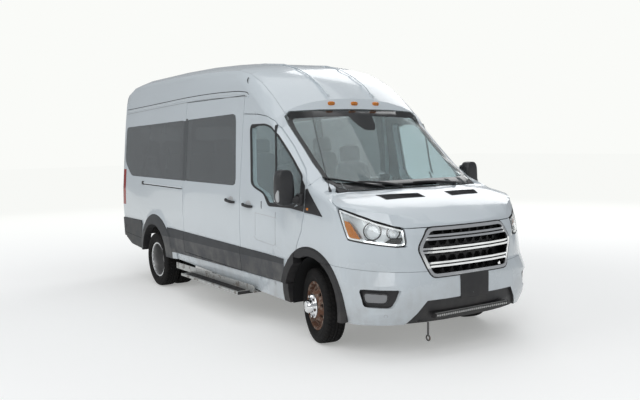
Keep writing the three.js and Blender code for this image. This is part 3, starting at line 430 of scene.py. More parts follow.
@dataclass(frozen=True)
class Paint(Finish):
    """Gloss body paint with faint colour drift, road dust low down and a trace of flow.

    Attributes:
        color: The paint.
        dust: Amount of road dust at the ground.
        dust_top: Level in metres where the dust ends.
        roughness: Roughness where it is clean.
    """

    color: Triple
    dust: float = 0.45
    dust_top: float = 1.15
    roughness: float = 0.22

    def shade(self, w: Wiring) -> bpy.types.Node:
        """Makes a coated shader whose roughness rises with the dust."""
        drift = drifted(w, self.color, 0.95, 0.8, 0.5)
        dust = EFFECTS.dust.use(w, Base=drift.outputs["Color"], Dust=rgba((0.42, 0.38, 0.33)),
                                Amount=self.dust, Top=self.dust_top, Scale=2.2)
        bump = w.bump(w.noise(w.add("TexCoord").outputs["Object"], 380.0, 1.0), 0.05, 0.0004)
        rough = w.plus(self.roughness, w.times(dust.outputs["Mask"], 0.5))
        return w.add("BsdfPrincipled", {"Base Color": dust.outputs["Color"], "Roughness": rough,
                                        "Coat Weight": 0.6, "Coat Roughness": 0.06, "Normal": bump})


@dataclass(frozen=True)
class Moulded(Finish):
    """Grained plastic with dust and pale scuffs.

    Attributes:
        color: The plastic.
        roughness: Roughness where it is clean.
        grain: Cells of the grain in a metre.
        depth: Height of the grain in metres.
        dust: Amount of road dust at the ground.
        dust_top: Level in metres where the dust ends.
    """

    color: Triple
    roughness: float = 0.55
    grain: float = 700.0
    depth: float = 0.0003
    dust: float = 0.3
    dust_top: float = 1.3

    def shade(self, w: Wiring) -> bpy.types.Node:
        """Makes a plain shader with a grain bump."""
        dust = EFFECTS.dust.use(w, Base=rgba(self.color), Dust=rgba((0.26, 0.24, 0.21)), Amount=self.dust,
                                Top=self.dust_top, Scale=4.0)
        scuff = EFFECTS.scuff.use(w, Scale=26.0, Level=0.66)
        pale = w.mix(w.times(scuff.outputs[0], 0.25), dust.outputs["Color"],
                     rgba(tuple(min(1.0, 1.9 * c + 0.03) for c in self.color)))
        grain = EFFECTS.grain.use(w, Scale=self.grain, Soft=0.6)
        bump = w.bump(grain.outputs[0], 0.6, self.depth)
        rough = w.plus(self.roughness, w.times(dust.outputs["Mask"], 0.3))
        return w.add("BsdfPrincipled", {"Base Color": pale, "Roughness": rough, "Normal": bump})


@dataclass(frozen=True)
class Bright(Finish):
    """Metal or chrome with a trace of smears.

    Attributes:
        color: The metal.
        roughness: Least roughness.
        smear: How much roughness the smears add.
    """

    color: Triple
    roughness: float = 0.08
    smear: float = 0.12

    def shade(self, w: Wiring) -> bpy.types.Node:
        """Makes a metal shader whose roughness drifts."""
        drift = drifted(w, self.color, 0.8, 9.0, 0.4)
        rough = w.plus(self.roughness, w.times(drift.outputs["Value"], self.smear))
        return w.add("BsdfPrincipled",
                     {"Base Color": drift.outputs["Color"], "Metallic": 1.0, "Roughness": rough})


@dataclass(frozen=True)
class Rusted(Finish):
    """Bare or painted steel with rust blooms and dirt.

    Attributes:
        color: The metal.
        rust: The rust.
        level: Noise level above which it rusts.
        scale: Blooms in a metre.
        metallic: Share of metal where it is clean.
        roughness: Roughness where it is clean.
    """

    color: Triple
    rust: Triple = (0.24, 0.11, 0.06)
    level: float = 0.5
    scale: float = 16.0
    metallic: float = 0.6
    roughness: float = 0.45

    def shade(self, w: Wiring) -> bpy.types.Node:
        """Makes a steel shader that goes rough and dull where it rusts."""
        bloom = EFFECTS.rust.use(w, Metal=rgba(self.color), Rust=rgba(self.rust), Level=self.level,
                                 Scale=self.scale)
        bump = w.bump(bloom.outputs["Height"], 0.5, 0.0008)
        rough = w.plus(self.roughness, w.times(bloom.outputs["Mask"], 0.45), clamp=True)
        metal = w.times(w.rest(bloom.outputs["Mask"]), self.metallic)
        return w.add("BsdfPrincipled", {"Base Color": bloom.outputs["Color"], "Roughness": rough,
                                        "Metallic": metal, "Normal": bump})


@dataclass(frozen=True)
class Pane(Finish):
    """Glass: a colour that light takes on in passing, with an uneven gloss.

    Attributes:
        color: The glass.
        passing: Share of the light that passes.
        roughness: Least roughness.
    """

    color: Triple
    passing: float = 1.0
    roughness: float = 0.02

    def shade(self, w: Wiring) -> bpy.types.Node:
        """Makes a glass shader with a slightly uneven gloss."""
        drift = drifted(w, self.color, 0.9, 2.5, 0.5)
        rough = w.plus(self.roughness, w.times(drift.outputs["Value"], 0.03))
        return w.add("BsdfPrincipled", {"Base Color": drift.outputs["Color"], "Roughness": rough, "IOR": 1.45,
                                        "Transmission Weight": self.passing, "Metallic": 0.0})


@dataclass(frozen=True)
class Rubber(Finish):
    """Tyre rubber, greyed by dust in patches.

    Attributes:
        color: The clean rubber.
    """

    color: Triple = (0.008, 0.008, 0.0085)

    def shade(self, w: Wiring) -> bpy.types.Node:
        """Makes a dull shader with a fine bump."""
        drift = EFFECTS.drift.use(w, Base=rgba(self.color), Other=rgba((0.03, 0.028, 0.026)), Scale=14.0,
                                  Amount=0.6)
        grain = EFFECTS.grain.use(w, Scale=420.0, Soft=0.4)
        bump = w.bump(grain.outputs[0], 0.4, 0.0004)
        rough = w.plus(0.72, w.times(drift.outputs["Value"], 0.2))
        return w.add("BsdfPrincipled", {"Base Color": drift.outputs["Color"], "Roughness": rough,
                                        "Specular IOR Level": 0.2, "Normal": bump})


@dataclass(frozen=True)
class Cloth(Finish):
    """Woven seat cloth with paler threads.

    Attributes:
        color: The cloth.
        scale: Threads in a metre.
    """

    color: Triple
    scale: float = 240.0

    def shade(self, w: Wiring) -> bpy.types.Node:
        """Makes a rough shader with sheen and a weave bump."""
        weave = EFFECTS.weave.use(w, Scale=self.scale)
        drift = drifted(w, self.color, 1.5, 6.0, 0.35)
        thread = w.mix(w.times(weave.outputs["Thread"], 0.5), drift.outputs["Color"],
                       rgba(self.color, 2.2))
        bump = w.bump(weave.outputs["Height"], 0.5, 0.0006)
        return w.add("BsdfPrincipled", {"Base Color": thread, "Roughness": 0.9, "Sheen Weight": 0.3,
                                        "Normal": bump})


@dataclass(frozen=True)
class PanelPaint(Finish):
    """Gloss white paint on a panel whose lower parts are grained plastic: cladding and the front flare; the
    wheel houses inside the arches take the flare's black as painted shade.

    Attributes:
        color: The paint.
        lining: Colour of the faces towards the cabin.
        cladding: Colour of the grey moulded parts.
        flare: Colour of the front wheel arch's flare, which also paints the shade inside both wheel houses.
        dusty: Colour of the dirt on the cladding's lower part.
    """

    color: Triple = (0.70, 0.765, 0.805)
    lining: Triple = (0.055, 0.055, 0.058)
    cladding: Triple = (0.041, 0.044, 0.048)
    flare: Triple = (0.018, 0.018, 0.02)
    dusty: Triple = (0.20, 0.195, 0.185)

    def shade(self, w: Wiring) -> bpy.types.Node:
        """Mixes paint and plastic by the panel's zones; coat, gloss and grain follow the same masks."""
        zones = EFFECTS.zones.use(w)
        drift = drifted(w, self.color, 0.95, 0.8, 0.5)
        dust = EFFECTS.dust.use(w, Base=drift.outputs["Color"], Dust=rgba((0.33, 0.31, 0.28)), Amount=0.8,
                                Top=0.95, Scale=2.4)
        upper = drifted(w, self.cladding, 1.5, 5.0, 0.5)
        lower = EFFECTS.dust.use(w, Base=rgba(self.cladding, 1.5), Dust=rgba(self.dusty),
                                 Amount=1.6, Top=1.1, Scale=5.0)
        plastic = w.mix(zones.outputs["Upper"], lower.outputs["Color"], upper.outputs["Color"])
        # The flare colour, dusted, is also painted shade on the wheel houses' inner faces.
        flare = EFFECTS.dust.use(w, Base=rgba(self.flare), Dust=rgba((0.12, 0.11, 0.1)), Amount=0.6, Top=1.0,
                                 Scale=5.0)
        color = w.mix(zones.outputs["Cladding"], dust.outputs["Color"], plastic)
        color = w.mix(zones.outputs["FlareAndArchShade"], color, flare.outputs["Color"])
        color = w.mix(zones.outputs["Inside"], color, rgba(self.lining))
        dull = w.math("MAXIMUM", w.math("MAXIMUM", zones.outputs["Cladding"], zones.outputs["FlareAndArchShade"]),
                      zones.outputs["Inside"])
        gloss = w.plus(0.24, w.times(dust.outputs["Mask"], 0.5))
        rough = w.plus(w.times(w.rest(dull), gloss), w.times(dull, 0.6))
        grain = EFFECTS.grain.use(w, Scale=700.0, Soft=0.6)
        bump = w.bump(w.times(dull, grain.outputs["Height"]), 0.5, 0.0003)
        return w.add("BsdfPrincipled", {"Base Color": color, "Roughness": rough, "Coat Roughness": 0.06,
                                        "Coat Weight": w.times(w.rest(dull), 0.6),
                                        "Normal": bump})


@dataclass(frozen=True)
class FacedPaint(Finish):
    """White paint outside and lining on the faces that look one way.

    Attributes:
        color: The paint.
        lining: Colour of the inner faces.
        axis: Axis number of the normal that tells the inner faces.
        limit: Inner faces have a normal below this on the axis.
    """

    color: Triple
    lining: Triple
    axis: int
    limit: float

    def shade(self, w: Wiring) -> bpy.types.Node:
        """Makes a coated shader that turns dull and takes the lining's colour inside."""
        coords = w.add("TexCoord")
        facing = w.add("SeparateXYZ", {0: coords.outputs["Normal"]}).outputs[self.axis]
        inside = w.math("LESS_THAN", facing, self.limit)
        drift = drifted(w, self.color, 0.95, 0.8, 0.5)
        dust = EFFECTS.dust.use(w, Base=drift.outputs["Color"], Dust=rgba((0.42, 0.38, 0.33)), Amount=0.4,
                                Top=1.6, Scale=2.2)
        color = w.mix(inside, dust.outputs["Color"], rgba(self.lining))
        gloss = w.plus(0.24, w.times(dust.outputs["Mask"], 0.5))
        rough = w.plus(gloss, w.times(inside, 0.5), clamp=True)
        bump = w.bump(w.noise(coords.outputs["Object"], 380.0, 1.0), 0.05, 0.0004)
        return w.add("BsdfPrincipled", {"Base Color": color, "Roughness": rough, "Coat Roughness": 0.06,
                                        "Coat Weight": w.times(w.rest(inside), 0.6),
                                        "Normal": bump})


WHITE = Paint("white_body_paint", "white_paint", (0.70, 0.765, 0.805))
PANEL = PanelPaint("panel_paint", "white_paint")
ROOF_PAINT = FacedPaint("roof_paint", "white_paint", (0.70, 0.765, 0.805), (0.20, 0.20, 0.195), 2, -0.3)
REAR_PAINT = FacedPaint("rear_door_paint", "white_paint", (0.70, 0.765, 0.805), (0.06, 0.06, 0.063), 1, -0.5)
# The body's white darkened and greyed: painted shade in the recessed handle bowls, with road dust up to 2 m.
SHADED_BOWL = Paint("handle_bowl_paint_and_shade", "white_paint", (0.62, 0.64, 0.66), dust=0.6, dust_top=2.0)
CLADDING = Moulded("grey_cladding", "grey_cladding", (0.047, 0.051, 0.055), roughness=0.6, dust=0.5)
TRIM = Moulded("black_trim", "black_trim", (0.016, 0.016, 0.018), roughness=0.5, dust=0.2)
# Near-black: the real rubber of seams and gaskets, and painted shade: the drip and rail shadows and the dark
# of the door slot and the bumper groove.
SEAM_AND_SHADE = Moulded("seam_rubber_and_painted_shade", "black_trim", (0.012, 0.012, 0.013), roughness=0.8, dust=0.1)
SOFT_SEAM = Moulded("seam_filler", "black_trim", (0.30, 0.31, 0.32), roughness=0.6, dust=0.1)
MARK = Moulded("fixture_mark", "grey_cladding", (0.50, 0.51, 0.53), roughness=0.5, dust=0.2)
MIRROR_SHELL = Moulded("mirror_shell", "black_trim", (0.026, 0.027, 0.03), roughness=0.38, grain=900.0,
                       depth=0.0002, dust=0.15, dust_top=2.6)
# Near-black and dull: painted shade behind the grille and in the wheels' hand holes, and the front wheel
# house liner's black deepened by shade.
SHADE_BLACK = Moulded("painted_shade_black", "black_trim", (0.006, 0.006, 0.007), roughness=0.85, dust=0.0)
SMOKE = Moulded("smoked_gloss", "black_trim", (0.012, 0.012, 0.014), roughness=0.12, depth=0.00004, dust=0.0)
PLATE = Moulded("blank_plate", "black_trim", (0.02, 0.02, 0.022), roughness=0.6, dust=0.2)
TINTED_BORDER = Moulded("tinted_border", "tinted_glass", (0.098, 0.106, 0.11), roughness=0.12,
                        depth=0.00004, dust=0.0)
FRIT = Moulded("glass_border", "black_trim", (0.014, 0.015, 0.016), roughness=0.18, depth=0.00004, dust=0.0)
PAPER = Moulded("paper_sheet", "white_paint", (0.72, 0.72, 0.70), roughness=0.8, dust=0.0)
GREEN = Moulded("green_plastic", "black_trim", (0.02, 0.06, 0.035), roughness=0.4, dust=0.0)
YELLOW = Moulded("yellow_tag", "white_paint", (0.62, 0.44, 0.03), roughness=0.6, dust=0.0)
DARK_LINING = Moulded("dark_lining", "black_trim", (0.03, 0.031, 0.034), roughness=0.7, dust=0.0)
UNDERBODY = Rusted("underbody_steel", "underbody", (0.035, 0.033, 0.031), rust=(0.12, 0.07, 0.045),
                   level=0.55, metallic=0.2, roughness=0.7)
CHROME = Bright("bright_chrome", "chrome_trim", (0.86, 0.87, 0.88))
BRIGHT_LIP = Bright("bright_rim_lip", "chrome_trim", (0.78, 0.79, 0.80), roughness=0.2, smear=0.25)
MIRROR_GLASS = Bright("mirror_glass", "chrome_trim", (0.78, 0.80, 0.82), roughness=0.02, smear=0.03)
LAMP_BACK = Bright("lamp_backing", "chrome_trim", (0.66, 0.68, 0.70), roughness=0.34, smear=0.2)
STEEL = Rusted("silver_steel", "steel", (0.45, 0.45, 0.44), level=0.63, scale=11.0, metallic=0.9,
               roughness=0.35)
SILVER_DISC = Rusted("silver_disc", "steel", (0.30, 0.30, 0.30), rust=(0.16, 0.12, 0.09), level=0.6,
                     scale=9.0, metallic=0.75, roughness=0.42)
TIE = Rusted("worn_steel", "steel", (0.12, 0.12, 0.12), level=0.55, scale=30.0, metallic=0.7, roughness=0.5)
ALUMINIUM = Rusted("weathered_aluminium", "aluminium", (0.52, 0.53, 0.52), rust=(0.3, 0.28, 0.25),
                   level=0.52, scale=8.0, metallic=0.7, roughness=0.45)
RUSTY_DISC = Rusted("rusty_disc", "rusty_steel", (0.3, 0.24, 0.2), rust=(0.2, 0.095, 0.055), level=0.4,
                    scale=18.0, metallic=0.5)
# Only 0.62 of the light passes; the rest shows the glass's grey as a flat surface, which lightens the side
# and rear windows as painted reflection over the real tint.
TINTED_AND_PAINTED_REFLECTION = Pane("tinted_glass", "tinted_glass", (0.29, 0.31, 0.32), passing=0.62)
CLEAR = Pane("clear_glass", "clear_glass", (0.72, 0.84, 0.86), passing=0.9)
DOOR_GLASS = Pane("door_glass", "clear_glass", (0.74, 0.87, 0.90), passing=0.87)
LENS = Pane("lamp_lens", "lamp_lens", (0.93, 0.95, 0.96))
FROSTED = Pane("frosted_lens", "lamp_lens", (0.86, 0.88, 0.89), passing=0.4, roughness=0.3)
FOG = Pane("fog_lens", "lamp_lens", (0.42, 0.43, 0.44), passing=0.35, roughness=0.2)
BULB = Pane("bulb_glass", "lamp_lens", (0.88, 0.89, 0.86), passing=0.45, roughness=0.15)
RED_LENS = Pane("red_lens", "red_lens", (0.5, 0.02, 0.015), passing=0.35, roughness=0.06)
AMBER = Pane("amber_lens", "red_lens", (0.85, 0.28, 0.03), passing=0.25, roughness=0.1)
TYRE = Rubber("tyre_rubber", "tyre_rubber")
SEAT_CLOTH = Cloth("seat_cloth", "seat_fabric", (0.05, 0.053, 0.058))

WORN_BY: dict[Finish, tuple[str, ...]] = {
    WHITE: ("hood",),
    PANEL: ("wing", "front_bumper", "side", "front_door", "sliding_door"),
    TRIM: ("lower_grille", "fog_lamp", "grille", "cowl", "mirror", "fuel_tank"),
    LENS: ("headlamp",),
    CHROME: ("grille_trim",),
    CLEAR: ("windscreen",),
    ROOF_PAINT: ("roof",),
    DOOR_GLASS: ("front_door_glass",),
    TINTED_AND_PAINTED_REFLECTION: ("sliding_door_glass", "side_glass", "quarter_glass", "rear_door_glass"),
    REAR_PAINT: ("rear_door",),
    RED_LENS: ("tail_lamp",),
    CLADDING: ("rear_bumper",),
    UNDERBODY: ("floor", "cab_floor", "frame", "front_subframe", "rear_axle", "knuckle"),
    STEEL: ("engine", "exhaust", "rear_rims"),
    ALUMINIUM: ("side_step",),
    TYRE: ("rear_tyre_outer", "rear_tyre_inner", "front_tyre"),
    DARK_LINING: ("dashboard", "steering_wheel"),
    SEAT_CLOTH: ("driver_seat", "front_passenger_seat", "passenger_seats"),
    RUSTY_DISC: ("front_rim",),
}
NODE_FINISH: dict[str, Finish] = {name: finish for finish, names in WORN_BY.items() for name in names}


def dress(name: str) -> Finish:
    """Gives the finish of a solid; both sides share one."""
    return NODE_FINISH[name.removesuffix("_left").removesuffix("_right")]


def dress_nodes() -> None:
    """Gives every carried-over solid its finish."""
    for name, item in NODES.items():
        item.data.materials.clear()
        item.data.materials.append(dress(name).material())


# ---- Surfaces ----
@dataclass
class Form:
    """A closed surface as arrays, in millimetres from the front axle's middle on the ground.

    Attributes:
        points: One row for each corner.
        faces: Corner numbers of each face, turned outwards.
    """

    points: Points
    faces: list[tuple[int, ...]]

    def shifted(self, step: Triple) -> "Form":
        """Gives the form moved by a step."""
        return Form(self.points + np.asarray(step, float), self.faces)

    def mirrored(self) -> "Form":
        """Gives the form of the van's other side."""
        return Form(self.points * (-1.0, 1.0, 1.0), [face[::-1] for face in self.faces])

    def on(self, side: float) -> "Form":
        """Gives a form of the left side for either side."""
        return self if side > 0 else self.mirrored()

    def spun(self, angle: float, axis: str, about: Triple = (0.0, 0.0, 0.0)) -> "Form":
        """Gives the form turned about an axis through a point, by degrees."""
        turn = np.array(Matrix.Rotation(math.radians(angle), 3, axis))
        middle = np.asarray(about, float)
        return Form((self.points - middle) @ turn.T + middle, self.faces)


def points_at(*places: tuple[float, ...]) -> Points:
    """Gives typed places as an array, a row for each."""
    return np.array(places, float)


def joined(forms: list[Form]) -> Form:
    """Puts several forms into one."""
    starts = np.cumsum([0] + [len(form.points) for form in forms[:-1]])
    faces = [tuple(int(start) + corner for corner in face)
             for start, form in zip(starts, forms) for face in form.faces]
    return Form(np.vstack([form.points for form in forms]), faces)


def side_word(side: float) -> str:
    """Names a side: 1 is the left, -1 the right."""
    return "left" if side > 0 else "right"


def outward(form: Form) -> Form:
    """Turns every face of a closed form over if its enclosed volume comes out negative."""
    total = 0.0
    for size in {len(face) for face in form.faces}:
        corners = form.points[np.array([face for face in form.faces if len(face) == size])]
        for i in range(1, size - 1):
            total += np.einsum("ij,ij->i", corners[:, 0], np.cross(corners[:, i], corners[:, i + 1])).sum()
    return form if total > 0 else Form(form.points, [face[::-1] for face in form.faces])


def quads(rows: int, cols: int, close: bool) -> list[tuple[int, ...]]:
    """Gives the four-cornered faces between closed rings of corners, which are numbered ring by ring."""
    r, c = np.meshgrid(np.arange(rows if close else rows - 1), np.arange(cols), indexing="ij")
    below, beside = (r + 1) % rows, (c + 1) % cols
    corners = np.stack([r * cols + c, r * cols + beside, below * cols + beside, below * cols + c], -1)
    return [tuple(face) for face in corners.reshape(-1, 4).tolist()]


def loft(rings: Points, close: bool = False) -> Form:
    """Carries a closed ring through its places.

    Args:
        rings: Rings by corners by three.
        close: Whether the last ring joins the first; if not, both ends are capped.

    Returns:
        The closed form, turned outwards.
    """
    count, size = rings.shape[:2]
    faces = quads(count, size, close)
    if not close:
        last = (count - 1) * size
        faces += [tuple(range(size))[::-1], tuple(range(last, last + size))]
    return outward(Form(rings.reshape(-1, 3), faces))


def stacked(outline: Points, layers: Iterable[tuple[float, float]], axis: int = 2,
            middle: Sequence[float] = (0.0, 0.0)) -> Form:
    """Carries a flat outline along an axis, layer by layer.

    Args:
        outline: Its corners in the two other axes.
        layers: Place on the axis and size of the outline in each layer.
        axis: Number of the axis.
        middle: Where the outline's own origin stands.

    Returns:
        The closed form with capped ends.
    """
    return loft(np.stack([np.insert(np.asarray(middle, float) + size * outline, axis, level, axis=1)
                          for level, size in layers]))


def turns(corners: int) -> Points:
    """Gives even angles round a circle."""
    return np.linspace(0.0, 2 * math.pi, corners, endpoint=False)


def round_section(radius: float, corners: int = 12) -> Points:
    """Gives a circle's corners in the plane."""
    turn = turns(corners)
    return radius * np.column_stack([np.cos(turn), np.sin(turn)])


def powered(value: Points, power: float) -> Points:
    """Raises the size of each number to a power and keeps its sign."""
    return np.sign(value) * np.abs(value) ** power


def soft_outline(half_wide: float, half_high: float, power: float = 4.0, corners: int = 32) -> Points:
    """Gives a rounded rectangle: |a/wide|^power + |b/high|^power = 1."""
    turn = turns(corners)
    return np.column_stack([half_wide * powered(np.cos(turn), 2 / power),
                            half_high * powered(np.sin(turn), 2 / power)])


def carried(path: Points, section: Points, up: Triple = (0.0, 0.0, 1.0),
            scale: Points | None = None) -> Form:
    """Carries a flat section along a path: at each point the section stands square to the path.

    Args:
        path: Points of the path.
        section: Corners of the section: first number sideways, second towards up.
        up: Direction that the section's second number follows as nearly as it can.
        scale: Size of the section at each point of the path.

    Returns:
        The closed form with capped ends.
    """
    path = np.asarray(path, float)
    ahead = np.gradient(path, axis=0)
    ahead /= np.linalg.norm(ahead, axis=1, keepdims=True)
    high = np.asarray(up, float) - (ahead @ np.asarray(up, float))[:, None] * ahead
    high /= np.linalg.norm(high, axis=1, keepdims=True)
    wide = np.cross(high, ahead)
    size = np.ones(len(path)) if scale is None else np.asarray(scale, float)
    rings = (path[:, None] + size[:, None, None] * (wide[:, None] * section[None, :, :1]
                                                    + high[:, None] * section[None, :, 1:2]))
    return loft(rings)


def swept_line(corners: Points, steps: int = 8) -> Points:
    """Gives a smooth path through some points, by a Catmull-Rom curve with its ends doubled."""
    knots = np.vstack([2 * corners[0] - corners[1], corners, 2 * corners[-1] - corners[-2]])
    t = np.linspace(0.0, 1.0, steps, endpoint=False)[None, :, None]
    a, b, c, d = knots[:-3, None], knots[1:-2, None], knots[2:-1, None], knots[3:, None]
    curve = 0.5 * (2 * b + (c - a) * t + (2 * a - 5 * b + 4 * c - d) * t**2 + (3 * b - a - 3 * c + d) * t**3)
    return np.vstack([curve.reshape(-1, corners.shape[1]), corners[-1:]])


def revolved(profile: Points, steps: int) -> Form:
    """Turns a closed profile of (along, radius) about the X axis."""
    turn = turns(steps)[:, None]
    along, radius = profile.T
    rings = [np.broadcast_to(along, (steps, len(along))), np.cos(turn) * radius, np.sin(turn) * radius]
    return loft(np.stack(rings, -1), close=True)


def densified(line: Points, step: float, closed: bool = False) -> Points:
    """Gives a line or closed outline points no further apart than a step."""
    ends = np.roll(line, -1, axis=0) if closed else line[1:]
    starts = line if closed else line[:-1]
    parts = []
    for start, end in zip(starts, ends):
        count = max(1, int(np.ceil(np.linalg.norm(end - start) / step)))
        parts.append(start + (end - start) * np.linspace(0, 1, count, endpoint=False)[:, None])
    return np.vstack(parts if closed else parts + [line[-1:]])


def rounded(outline: Points, radius: float, steps: int = 5) -> Points:
    """Rounds each corner of an outline by a curve that leaves its sides at the radius."""
    before, after = np.roll(outline, 1, axis=0), np.roll(outline, -1, axis=0)
    back, ahead = before - outline, after - outline
    reach = np.minimum(radius, 0.45 * np.minimum(np.linalg.norm(back, axis=1), np.linalg.norm(ahead, axis=1)))
    start = outline + back / np.linalg.norm(back, axis=1, keepdims=True) * reach[:, None]
    end = outline + ahead / np.linalg.norm(ahead, axis=1, keepdims=True) * reach[:, None]
    t = np.linspace(0.0, 1.0, steps)[None, :, None]
    curve = (1 - t) ** 2 * start[:, None] + 2 * t * (1 - t) * outline[:, None] + t**2 * end[:, None]
    return curve.reshape(-1, 2)


def anticlockwise(outline: Points) -> Points:
    """Gives an outline's corners in anticlockwise order."""
    after = np.roll(outline, -1, axis=0)
    area = (outline[:, 0] * after[:, 1] - outline[:, 1] * after[:, 0]).sum()
    return outline if area > 0 else outline[::-1]


def grown(outline: Points, step: float) -> Points:
    """Moves an anticlockwise outline outwards by a step, along the mean of the sides' normals."""
    ahead = np.roll(outline, -1, axis=0) - outline
    ahead /= np.maximum(np.linalg.norm(ahead, axis=1, keepdims=True), 1e-9)
    normal = np.column_stack([ahead[:, 1], -ahead[:, 0]])
    mean = normal + np.roll(normal, 1, axis=0)
    mean /= np.maximum((mean * mean).sum(1, keepdims=True) / 2, 0.2)
    return outline + step * mean


class View(Enum):
    """A way to look at the van: number of the axis, then 1 to see its highest faces or -1 its lowest."""

    LEFT = (0, 1.0)
    RIGHT = (0, -1.0)
    FRONT = (1, -1.0)
    REAR = (1, 1.0)
    TOP = (2, 1.0)

    @classmethod
    def beside(cls, side: float) -> "View":
        """Gives the view of a side: 1 for the left, -1 for the right."""
        return cls.LEFT if side > 0 else cls.RIGHT


class Skin:
    """The outer faces of some solids as seen along one axis, for thin trim to lie on."""

    def __init__(self, names: list[str], view: View, yaw: float = 0.0) -> None:
        """Gathers the solids' triangles.

        Args:
            names: Solids to look at.
            view: Way to look at them.
            yaw: Turn of the view about the upright, in degrees.
        """
        self.turn = np.array(Matrix.Rotation(math.radians(yaw), 3, "Z"))
        gathered = []
        for name in names:
            mesh = NODES[name].data
            mesh.calc_loop_triangles()
            points = np.empty(3 * len(mesh.vertices))
            corners = np.empty(3 * len(mesh.loop_triangles), dtype=np.int32)
            mesh.vertices.foreach_get("co", points)
            mesh.loop_triangles.foreach_get("vertices", corners)
            gathered.append(points.reshape(-1, 3)[corners].reshape(-1, 3, 3))
        triangles = (np.concatenate(gathered) * 1000.0 + (0.0, 1000.0 * DATUM, 0.0)) @ self.turn
        self.axis, self.sign = view.value
        self.across = [i for i in range(3) if i != self.axis]
        flat = triangles[:, :, self.across]
        side_a, side_b = flat[:, 1] - flat[:, 0], flat[:, 2] - flat[:, 0]
        area = side_a[:, 0] * side_b[:, 1] - side_a[:, 1] * side_b[:, 0]
        seen = np.abs(area) > 1e-3
        self.flat, self.depth, self.area = flat[seen], triangles[seen][:, :, self.axis], area[seen]
        self.low, self.high = self.flat.min(1) - 0.01, self.flat.max(1) + 0.01

    def flatten(self, points: Points) -> Points:
        """Gives the places where points in space stand in the view."""
        return (np.asarray(points, float) @ self.turn)[:, self.across]

    def reach(self, places: Points) -> Points:
        """Gives how far out the skin stands at each place.

        The barycentric shares of a place in each triangle give the depth there, and the
        outermost counts. A place that meets no face is pulled towards the middle until it does.
        """
        found = np.full(len(places), np.nan)
        middle = np.median(places, axis=0)
        for pull in (0.0, 0.005, 0.015, 0.03, 0.06, 0.12):
            missing = np.flatnonzero(np.isnan(found))
            if not len(missing):
                return found
            found[missing] = self.met(places[missing] + pull * (middle - places[missing]))
        known, missing = np.flatnonzero(~np.isnan(found)), np.flatnonzero(np.isnan(found))
        if not len(known):
            raise ValueError("the trim meets no face")
        away = np.linalg.norm(places[missing][:, None] - places[known][None], axis=2)
        found[missing] = found[known[away.argmin(1)]]
        return found

    def met(self, places: Points) -> Points:
        """Gives the outermost face's depth at each place, or no number where there is none."""
        found = np.full(len(places), np.nan)
        for start in range(0, len(places), 256):
            part = places[start:start + 256]
            near = ((part[:, None] >= self.low).all(2) & (part[:, None] <= self.high).all(2)).any(0)
            flat, depth, area = self.flat[near], self.depth[near], self.area[near]
            if not len(flat):
                continue
            off = part[:, None] - flat[None, :, 0]
            side_a, side_b = flat[:, 1] - flat[:, 0], flat[:, 2] - flat[:, 0]
            share_b = (off[..., 0] * side_b[:, 1] - off[..., 1] * side_b[:, 0]) / area
            share_c = (side_a[:, 0] * off[..., 1] - side_a[:, 1] * off[..., 0]) / area
            inside = (share_b > -1e-4) & (share_c > -1e-4) & (share_b + share_c < 1.0001)
            rise_b, rise_c = depth[:, 1] - depth[:, 0], depth[:, 2] - depth[:, 0]
            level = depth[:, 0] + share_b * rise_b + share_c * rise_c
            best = np.where(inside, self.sign * level, -np.inf).max(1)
            found[start:start + 256] = np.where(np.isfinite(best), self.sign * best, np.nan)
        return found

    def laid(self, places: Points, lift: float, depth: Points | None = None) -> Points:
        """Gives places their depth, plus a lift outwards, as points in space."""
        out = np.empty((len(places), 3))
        out[:, self.across] = places
        out[:, self.axis] = (self.reach(places) if depth is None else depth) + self.sign * lift
        return out @ self.turn.T

    def band(self, inner: Points, outer: Points, lift: float = 1.5, sink: float = 6.0) -> Form:
        """Lays a flat ring between two outlines with the same count of corners."""
        rings = np.stack([self.laid(outer, -sink), self.laid(outer, lift), self.laid(inner, lift),
                          self.laid(inner, -sink)])
        return loft(rings, close=True)

    def strip(self, line: Points, width: float, lift: float = 3.0, sink: float = 6.0,
              step: float = 25.0, crown: float = 0.0) -> Form:
        """Lays a strip of even width along a line, with its crown raised in the middle."""
        path = densified(np.asarray(line, float), step)
        ahead = np.gradient(path, axis=0)
        ahead /= np.linalg.norm(ahead, axis=1, keepdims=True)
        beside = np.column_stack([-ahead[:, 1], ahead[:, 0]]) * width / 2
        depths = [self.smoothed(self.reach(path + share * beside)) for share in (-1.0, 0.0, 1.0)]
        edge = [self.laid(path - beside, -sink, depths[0]), self.laid(path - beside, lift, depths[0]),
                self.laid(path, lift + crown, depths[1]), self.laid(path + beside, lift, depths[2]),
                self.laid(path + beside, -sink, depths[2])]
        return loft(np.stack(edge, 1))

    def smoothed(self, depth: Points) -> Points:
        """Takes the outermost depth among close neighbours, so that a seam leaves no dip."""
        padded = np.pad(depth, 1, mode="edge")
        near = np.stack([padded[:-2], padded[1:-1], padded[2:]])
        return self.sign * (self.sign * near).max(0)

